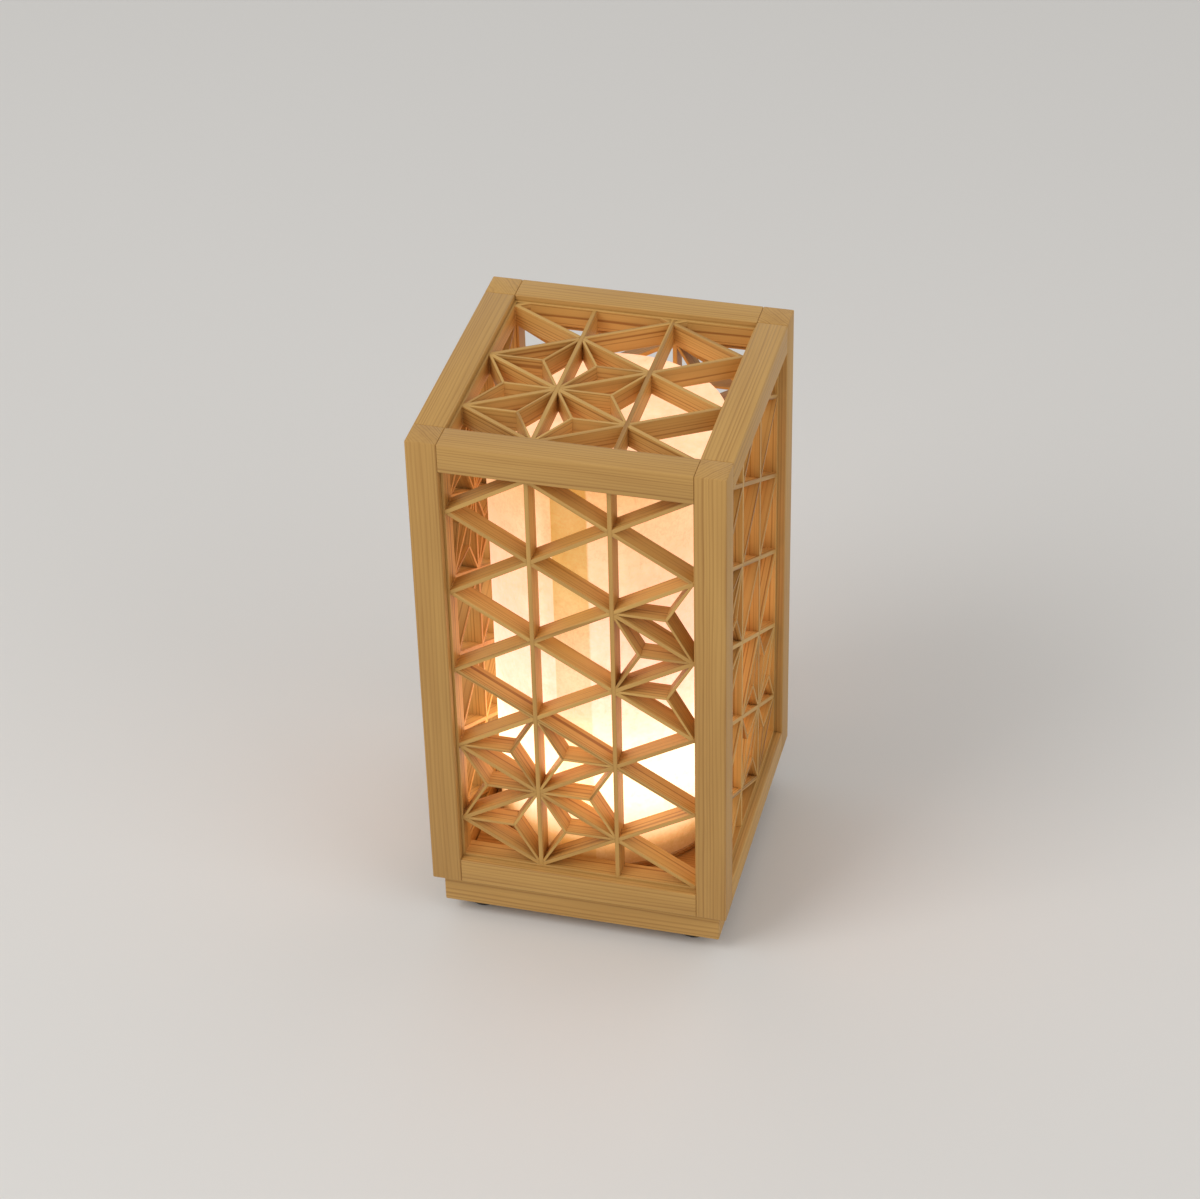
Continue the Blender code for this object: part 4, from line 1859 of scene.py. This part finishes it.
@dataclass
class LampBase:
    """The base board, the panel that the hood fits round, the feet and the gland.

    foot_side gives how far a foot's side stands in from its radius at each height, and foot_sole and
    gland_barrel give radius and height.
    """

    finishes: Finishes
    ease: float = 0.0008
    panel_ease: float = 0.0005
    ease_steps: int = 3
    ring_lean: Range = (0.5, 0.8)
    hole_steps: int = 32
    dowel_hole: float = 0.0042
    dowel_hole_ends: Range = (-0.001, 0.0185)
    gland_hole: float = 0.00445
    gland_hole_ends: Range = (-0.0086, 0.001)
    steps: int = 48
    dowel: float = 0.004
    soft: float = 0.0004
    foot_side: Profile = (
        (0.0003, 0.0062),
        (0.0008, 0.0059),
        (0.0008, 0.0053),
        (0.0004, 0.005),
        (0.0012, 0.0012),
        (0.0016, 0.0004),
        (0.0022, 0.0),
    )
    foot_sole: Profile = ((0.0045, 0.0), (0.0038, 0.0005), (0.0, 0.0006))
    gland_lip: float = 0.0008
    gland_lip_round: Range = (0.0002, 0.0003)
    gland_barrel: Profile = (
        (0.0042, TOUCH),
        (0.0042, -0.0022),
        (0.0039, -0.0026),
        (0.0042, -0.003),
        (0.0042, -0.0076),
        (0.0038, -0.008),
        (0.0, -0.008),
    )
    flex_width: float = 0.006
    flex_height: float = 0.0034
    flex_round: float = 0.0012
    flex_round_steps: int = 4
    flex_reach: float = 0.01
    draw: random.Random = field(default_factory=lambda: random.Random(23))

    def build(self) -> None:
        """Makes the boards, the feet and the gland."""
        slab = self.board("base_board", self.ease)
        self.drill(slab)
        self.dress_board(slab, "base_slab", "base_board")
        panel = self.board("locating_panel", self.panel_ease)
        self.dress_board(panel, "locating_slab", "locating_panel")
        self.feet()
        self.gland()

    def board(self, node: str, ease: float) -> Piece:
        """A board with eased edges.

        Args:
            node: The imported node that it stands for.
            ease: Width of its eased edges.

        Returns:
            The board in its place.
        """
        low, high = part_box(node)
        obj = Bench.prism(rectangle(low.x, low.z, high.x, high.z), low.y, high.y)
        Bench.ease(obj, ease, self.ease_steps, lambda a, b: True)
        return obj

    def gland_place(self) -> Matrix:
        """Finds where the gland sits on the board's back.

        Returns:
            Its place, with its axis pointing out.
        """
        place = middle("cord_gland")
        place.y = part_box("base_board")[1].y
        return Matrix.Translation(place) @ rotation(-QUARTER, "X")

    def drill(self, slab: Piece) -> None:
        """Drills the holes for the feet's dowels and for the gland.

        Args:
            slab: The base board.
        """
        for corner in CORNERS:
            place = over_floor("foot_" + corner)
            Bench.drill(slab, self.dowel_hole, self.dowel_hole_ends, self.hole_steps, place)
        Bench.drill(slab, self.gland_hole, self.gland_hole_ends, self.hole_steps, self.gland_place())

    def dress_board(self, obj: Piece, name: str, node: str) -> None:
        """Marks a board's wood, its grain running left to right, and finishes it.

        Args:
            obj: The board.
            name: The piece's name.
            node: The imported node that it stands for.
        """
        Timber.mark(obj, ALONG_X, Vector((0, 1, self.draw.uniform(*self.ring_lean))), self.draw)
        Timber.part_ends(obj, ALONG_X)
        Bench.smoothed(obj, SOFT_PLANED)
        woods = (self.finishes.frame, self.finishes.end)
        finished(obj, name, Body.BASE, woods, (node,))

    def feet(self) -> None:
        """Turned rubber feet with a dowel, a groove and a dished sole."""
        low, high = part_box("foot_front_left")
        radius = (high.x - low.x) / 2
        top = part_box("base_board")[0].z - TOUCH
        profile = [
            (0.0, high.z),
            (self.dowel - self.soft, high.z),
            (self.dowel, high.z - self.soft),
            (self.dowel, top),
            (radius - self.soft, top),
            (radius, top - self.soft),
        ]
        profile += [(radius - inset, height) for inset, height in self.foot_side]
        profile += self.foot_sole
        first = Bench.turned(profile, self.steps)
        for corner in CORNERS:
            node = "foot_" + corner
            obj = Bench.moved(Bench.copied(first), over_floor(node))
            finished(obj, "rubber_" + node, Body.BASE, (self.finishes.rubber,), (node,))
        Bench.discard(first)

    def gland(self) -> None:
        """A flanged bushing with a rounded lip and a slot for a flat flex."""
        low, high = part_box("cord_gland")
        flange = (high.x - low.x) / 2
        out = high.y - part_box("base_board")[1].y
        inset, drop = self.gland_lip_round
        profile = [
            (0.0, out),
            (flange - self.gland_lip, out),
            (flange - inset, out - drop),
            (flange, out - self.gland_lip),
            (flange, TOUCH),
        ]
        profile += self.gland_barrel
        obj = Bench.turned(profile, self.steps)
        wide, tall, reach = self.flex_width / 2, self.flex_height / 2, self.flex_reach
        slot = Bench.prism(rectangle(-wide, -tall, wide, tall), -reach, reach)
        Bench.ease(slot, self.flex_round, self.flex_round_steps, lambda a, b: abs(a.y - b.y) > reach)
        Bench.cut(obj, Bench.moved(slot, rotation(QUARTER, "X")))
        Bench.moved(obj, self.gland_place())
        Bench.smoothed(obj, SOFT_TURNED)
        finished(obj, "gland_bush", Body.BASE, (self.finishes.rubber,), ("cord_gland",))


@dataclass(frozen=True)
class RolledThread:
    """A round thread rolled into a thin wall on the lamp's axis."""

    lead: float = 0.002822
    depth: float = 0.00022
    fade: float = 0.001

    def roll(self, obj: Piece, low: float, high: float, least: float) -> None:
        """Rolls the thread into a turned piece.

        Args:
            obj: The piece.
            low: Where the thread starts.
            high: Where it ends.
            least: Only points further from the axis than this are moved.
        """
        for vert in obj.data.vertices:
            radius = math.hypot(vert.co.x, vert.co.y)
            if low < vert.co.z < high and radius > least:
                angle = math.atan2(vert.co.y, vert.co.x)
                fade = min(1.0, (vert.co.z - low) / self.fade, (high - vert.co.z) / self.fade)
                wave = math.cos(2 * math.pi * vert.co.z / self.lead - angle) - 1.0
                grown = (radius + fade * self.depth * wave) / radius
                vert.co.x *= grown
                vert.co.y *= grown


@dataclass
class Lampholder:
    """The moulded holder with its screw shell, its centre contact and its two screws.

    rib_half gives half of a groove's width between the ribs, outside and inside, and contact_foot the
    heights of the contact's foot from its neck outwards. Sizes that start with share are shares of the
    screw shank's radius.
    """

    finishes: Finishes
    thread: RolledThread = RolledThread()
    steps: int = 64
    contact_steps: int = 32
    screw_steps: int = 28
    bore_gap: float = 0.0002
    floor_gap: float = 0.0003
    barrel_wall: float = 0.0049
    flange_height: float = 0.004
    soft: float = 0.0004
    round_over: float = 0.0012
    fillet: float = 0.0005
    ribs: int = 5
    rib_start: float = 0.0045
    rib_pitch: float = 0.0022
    rib_depth: float = 0.0006
    rib_half: Range = (0.0007, 0.0004)
    screw_hole: float = 0.0017
    screw_hole_steps: int = 24
    overcut: float = 0.001
    shell_wall: float = 0.0004
    shell_rings: int = 44
    shell_plain: float = 0.001
    contact_top: float = 0.0018
    contact_neck: Range = (0.0024, 0.0026)
    contact_soft: float = 0.0003
    contact_foot: Triple = (0.0007, 0.0006, 0.0004)
    contact_foot_soft: float = 0.0002
    head_height: float = 0.0018
    head_rim: float = 0.0003
    head_rings: int = 6
    shank: float = 0.0014
    share_neck: float = 0.8
    share_root: float = 0.72
    share_point: float = 0.6
    screw_turns: int = 10
    screw_plain: float = 0.0008
    screw_unthreaded: float = 0.0025
    screw_point: float = 0.0012
    slot_width: float = 0.0008
    slot_depth: float = 0.0007
    slot_reach: float = 1.5

    def build(self) -> None:
        """Makes the holder, its contact parts and its screws."""
        self.holder()
        self.shell()
        self.contact()
        self.screws()

    def holder(self) -> None:
        """The moulded body with a ribbed barrel and a screwed flange."""
        low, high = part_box("lampholder_body")
        shell_low, shell_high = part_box("screw_shell")
        flange, top = high.x, high.z
        bore = shell_high.x + self.bore_gap
        floor = shell_low.z - self.floor_gap
        barrel = bore + self.barrel_wall
        shoulder = low.z + self.flange_height
        soft, bend, fillet = self.soft, self.round_over, self.fillet
        wide, narrow = self.rib_half
        profile = [(0.0, floor), (bore, floor), (bore, top - soft), (bore + soft, top)]
        profile += [(barrel - bend, top), (barrel - bend / 4, top - bend / 3), (barrel, top - bend)]
        for i in range(self.ribs):
            level = top - self.rib_start - i * self.rib_pitch
            valley = barrel - self.rib_depth
            profile += [(barrel, level + wide), (valley, level + narrow)]
            profile += [(valley, level - narrow), (barrel, level - wide)]
        profile += [(barrel, shoulder + fillet), (barrel + soft, shoulder), (flange - fillet, shoulder)]
        profile += [(flange, shoulder - fillet), (flange, low.z), (0.0, low.z)]
        obj = Bench.turned(profile, self.steps)
        ends = (low.z - self.overcut, shoulder + self.overcut)
        for side in SCREW_SIDES:
            place = over_floor("holder_screw_" + side)
            Bench.drill(obj, self.screw_hole, ends, self.screw_hole_steps, place)
        with Bench.editing(obj):
            bpy.ops.mesh.dissolve_degenerate(threshold=Bench.FLAT_AFTER_CUT)
        Bench.smoothed(obj, SOFT_TURNED)
        plastic = (self.finishes.plastic,)
        finished(obj, "holder_moulding", Body.BASE, plastic, ("lampholder_body",))

    def shell(self) -> None:
        """The threaded metal shell inside the holder."""
        low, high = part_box("screw_shell")
        outer = high.x
        inner = outer - self.shell_wall
        rise = (high.z - low.z) / self.shell_rings
        profile = [(outer, high.z - i * rise) for i in range(self.shell_rings + 1)]
        profile += [(inner, low.z + i * rise) for i in range(self.shell_rings + 1)]
        obj = Bench.turned(profile, self.steps, closed=True)
        outside = outer - self.shell_wall / 2
        self.thread.roll(obj, low.z + self.shell_plain, high.z - self.shell_plain, outside)
        nickel = (self.finishes.nickel,)
        finished(obj, "threaded_shell", Body.BASE, nickel, ("screw_shell",))

    def contact(self) -> None:
        """The stepped centre contact at the bottom of the holder."""
        low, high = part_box("centre_contact")
        radius = high.x
        neck_top, neck_foot = self.contact_neck
        inner, outer, edge = self.contact_foot
        profile = [
            (0.0, high.z),
            (self.contact_top, high.z),
            (neck_top, high.z - self.contact_soft),
            (neck_foot, low.z + inner),
            (radius - self.contact_foot_soft, low.z + outer),
            (radius, low.z + edge),
            (radius, low.z),
            (0.0, low.z),
        ]
        obj = Bench.turned(profile, self.contact_steps)
        brass = (self.finishes.brass,)
        finished(obj, "contact_button", Body.BASE, brass, ("centre_contact",))

    def screws(self) -> None:
        """The slotted round-head wood screws with threaded shanks, one on each side."""
        low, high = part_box("holder_screw_" + SCREW_SIDES[0])
        head = (high.x - low.x) / 2
        seat = high.z - self.head_height
        rim = seat + self.head_rim
        profile = [(0.0, high.z)]
        for i in range(1, self.head_rings + 1):
            angle = i / self.head_rings * QUARTER
            profile.append((head * math.sin(angle), rim + (high.z - rim) * math.cos(angle)))
        profile += [(head, seat), (self.shank * self.share_neck, seat)]
        rise = (seat - low.z - self.screw_unthreaded) / self.screw_turns
        for i in range(self.screw_turns):
            level = seat - self.screw_plain - i * rise
            profile += [(self.shank * self.share_root, level), (self.shank, level - rise / 2)]
        profile += [(self.shank * self.share_point, low.z + self.screw_point), (0.0, low.z)]
        first = Bench.turned(profile, self.screw_steps)
        half, reach = self.slot_width / 2, head * self.slot_reach
        outline = rectangle(-half, high.z - self.slot_depth, half, high.z + self.overcut)
        Bench.cut(first, Bench.prism(outline, -reach, reach))
        Bench.smoothed(first, SOFT_SCREW)
        nickel = (self.finishes.nickel,)
        for side in SCREW_SIDES:
            node = "holder_screw_" + side
            obj = Bench.moved(Bench.copied(first), over_floor(node))
            finished(obj, "slotted_screw_" + side, Body.BASE, nickel, (node,))
        Bench.discard(first)


@dataclass
class GlobeBulb:
    """The small globe bulb: tip contact, threaded cap, flared housing and globe.

    tip_crown gives the tip's rounded end as shares of its radius and heights over its lowest point.
    cap_plain gives the cap's plain lengths under and over its thread, and cap_taper how far its lower
    end stands in at each height.
    """

    finishes: Finishes
    thread: RolledThread = RolledThread()
    steps: int = 64
    tip_steps: int = 32
    tip_crown: Profile = ((1.0, 0.0008), (0.8, 0.0003), (0.45, 0.0))
    cap_rings: int = 48
    cap_plain: Range = (0.003, 0.0025)
    cap_taper: Profile = ((0.0016, 0.0011), (0.003, 0.0))
    cap_skin: float = 0.0004
    neck_step: float = 0.0009
    housing_soft: float = 0.0003
    housing_rings: int = 12
    globe_rings: int = 32

    def build(self) -> None:
        """Makes the four pieces of the bulb."""
        self.tip()
        self.cap()
        self.housing()
        self.globe()

    def tip(self) -> None:
        """The rounded contact at the bottom."""
        low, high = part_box("bulb_tip")
        radius = high.x
        profile = [(0.0, high.z), (radius, high.z)]
        profile += [(radius * share, low.z + height) for share, height in self.tip_crown]
        profile += [(0.0, low.z)]
        obj = Bench.turned(profile, self.tip_steps)
        finished(obj, "bulb_tip_button", Body.LEAD, (self.finishes.brass,), ("bulb_tip",))

    def cap(self) -> None:
        """The threaded metal cap, tapered to the tip."""
        low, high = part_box("bulb_cap")
        radius = high.x
        below, above = self.cap_plain
        rise = (high.z - low.z - below) / self.cap_rings
        profile = [(0.0, high.z)]
        profile += [(radius, high.z - i * rise) for i in range(self.cap_rings + 1)]
        profile += [(radius - inset, low.z + height) for inset, height in self.cap_taper]
        profile += [(0.0, low.z)]
        obj = Bench.turned(profile, self.steps)
        self.thread.roll(obj, low.z + below, high.z - above, radius - self.cap_skin)
        finished(obj, "bulb_cap_thread", Body.BULB, (self.finishes.nickel,), ("bulb_cap",))

    def housing(self) -> None:
        """The housing that flares from the cap to the globe."""
        low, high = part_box("bulb_housing")
        wide = high.x
        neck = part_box("bulb_cap")[1].x + self.neck_step
        soft = self.housing_soft
        profile = [(0.0, high.z), (wide - soft, high.z), (wide, high.z - soft)]
        for i in range(1, self.housing_rings + 1):
            share = i / self.housing_rings
            flare = wide + (neck - wide) * math.sin(share * QUARTER)
            profile.append((flare, high.z - soft - share * (high.z - low.z - 2 * soft)))
        profile += [(neck - soft, low.z), (0.0, low.z)]
        obj = Bench.turned(profile, self.steps)
        opal = (self.finishes.housing,)
        finished(obj, "bulb_housing_flare", Body.BULB, opal, ("bulb_housing",))

    def globe(self) -> None:
        """The opal globe, cut off where it meets the housing."""
        low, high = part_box("bulb_globe")
        radius = high.x
        centre = high.z - radius
        lowest = math.asin((low.z - centre) / radius)
        profile = [(0.0, high.z)]
        for i in range(1, self.globe_rings + 1):
            angle = QUARTER + (lowest - QUARTER) * i / self.globe_rings
            profile.append((radius * math.cos(angle), centre + radius * math.sin(angle)))
        profile += [(0.0, low.z)]
        obj = Bench.turned(profile, self.steps)
        finished(obj, "bulb_globe_opal", Body.BULB, (self.finishes.opal,), ("bulb_globe",))


@dataclass(frozen=True)
class SoftLight:
    """A square soft light."""

    name: str
    place: Triple
    size: float
    power: float

    def hang(self, target: Triple) -> None:
        """Adds the light to the scene.

        Args:
            target: The point that it faces.
        """
        light = bpy.data.lights.new(self.name, "AREA")
        light.shape = "SQUARE"
        light.size = self.size
        light.energy = self.power
        obj = bpy.data.objects.new(self.name, light)
        bpy.context.scene.collection.objects.link(obj)
        obj.location = self.place
        aim = Vector(target) - Vector(self.place)
        obj.rotation_euler = aim.to_track_quat("-Z", "Y").to_euler()


@dataclass(frozen=True)
class Studio:
    """The floor, the light and the camera, whose angles are in degrees."""

    azimuth: float = 15.1587
    elevation: float = 36.15312
    roll: float = -1.51016
    distance: float = 1.621214
    focal_pixels: float = 3305.011
    image_width: float = 1200.0
    sensor: float = 36.0
    clip: Range = (0.05, 50.0)
    target: Triple = (-0.004988, 0.0, 0.155836)
    floor_size: float = 14.0
    floor_colour: Colour = (0.78, 0.765, 0.74)
    floor_roughness: float = 0.85
    floor_shine: float = 0.1
    sky: Colour = (0.90, 0.895, 0.885)
    sky_light: float = 0.62
    lit_point: Triple = (0.0, 0.0, 0.12)
    lights: tuple[SoftLight, ...] = (
        SoftLight("key_softbox", (-1.3, -1.5, 2.1), 1.4, 26.0),
        SoftLight("fill_softbox", (1.9, -0.9, 1.5), 1.6, 9.0),
    )

    def build(self) -> None:
        """Adds the floor, the light and the camera."""
        self.floor()
        self.world()
        for light in self.lights:
            light.hang(self.lit_point)
        self.camera()
        bpy.context.scene.view_settings.view_transform = "Standard"

    def floor(self) -> None:
        """A wide plain floor."""
        Bench.clear()
        bpy.ops.mesh.primitive_plane_add(size=self.floor_size, location=(0, 0, 0))
        obj = bpy.context.object
        obj.name = "studio_floor"
        material, w, shader = blank_material("studio_floor")
        w.fill(
            shader,
            {
                "Base Color": opaque(self.floor_colour),
                "Roughness": self.floor_roughness,
                "Specular IOR Level": self.floor_shine,
            },
        )
        obj.data.materials.append(material)

    def world(self) -> None:
        """Even light from all round, and a pale background."""
        world = bpy.data.worlds.new("studio")
        bpy.context.scene.world = world
        world.use_nodes = True
        w = Wiring(world.node_tree)
        path = w.node("ShaderNodeLightPath")
        seen = w.math("MAXIMUM", path.outputs["Is Camera Ray"], path.outputs["Is Glossy Ray"])
        seen = w.math("MAXIMUM", seen, path.outputs["Is Transmission Ray"])
        strength = w.math("MULTIPLY_ADD", seen, 1.0 - self.sky_light, self.sky_light)
        back = world.node_tree.nodes["Background"]
        w.fill(back, {"Color": opaque(self.sky), "Strength": strength})

    def camera(self) -> None:
        """The camera at the photograph's viewing angle."""
        azimuth, elevation, roll = (math.radians(a) for a in (self.azimuth, self.elevation, self.roll))
        level_out = math.cos(elevation)
        back = Vector(
            (math.sin(azimuth) * level_out, -math.cos(azimuth) * level_out, math.sin(elevation))
        )
        right = (-back).cross(Vector((0, 0, 1))).normalized()
        up = right.cross(-back)
        level = right * math.cos(roll) + up * math.sin(roll)
        upright = up * math.cos(roll) - right * math.sin(roll)
        data = bpy.data.cameras.new("photo_angle")
        data.sensor_fit = "HORIZONTAL"
        data.sensor_width = self.sensor
        data.lens = self.focal_pixels / self.image_width * self.sensor
        data.clip_start, data.clip_end = self.clip
        obj = bpy.data.objects.new("photo_angle", data)
        bpy.context.scene.collection.objects.link(obj)
        turn = Matrix((level, upright, back)).transposed().to_4x4()
        obj.matrix_world = Matrix.Translation(Vector(self.target) + back * self.distance) @ turn
        bpy.context.scene.camera = obj


# Each panel's side, a column whose nodes stand at whole pitches, and the nodes with a flower
PANELS = (
    (Side.FRONT, 1, ((1, 1), (3, 3))),
    (Side.RIGHT, 0, ((2, 1), (0, 3))),
    (Side.BACK, 1, ((1, 4),)),
    (Side.LEFT, 0, ((2, 4),)),
    (Side.TOP, 1, ((1, 1),)),
)


def main() -> None:
    """Builds every sub-assembly in order and reports each piece."""
    logging.basicConfig(level=logging.INFO, format="%(message)s")
    finishes = Finishes()
    HoodFrame(finishes).build()
    for side, whole_column, flowers in PANELS:
        KumikoPanel(side, whole_column, flowers, finishes).build()
    PaperShade(finishes).build()
    LampBase(finishes).build()
    Lampholder(finishes).build()
    GlobeBulb(finishes).build()
    Studio().build()


if __name__ == "__main__":
    main()
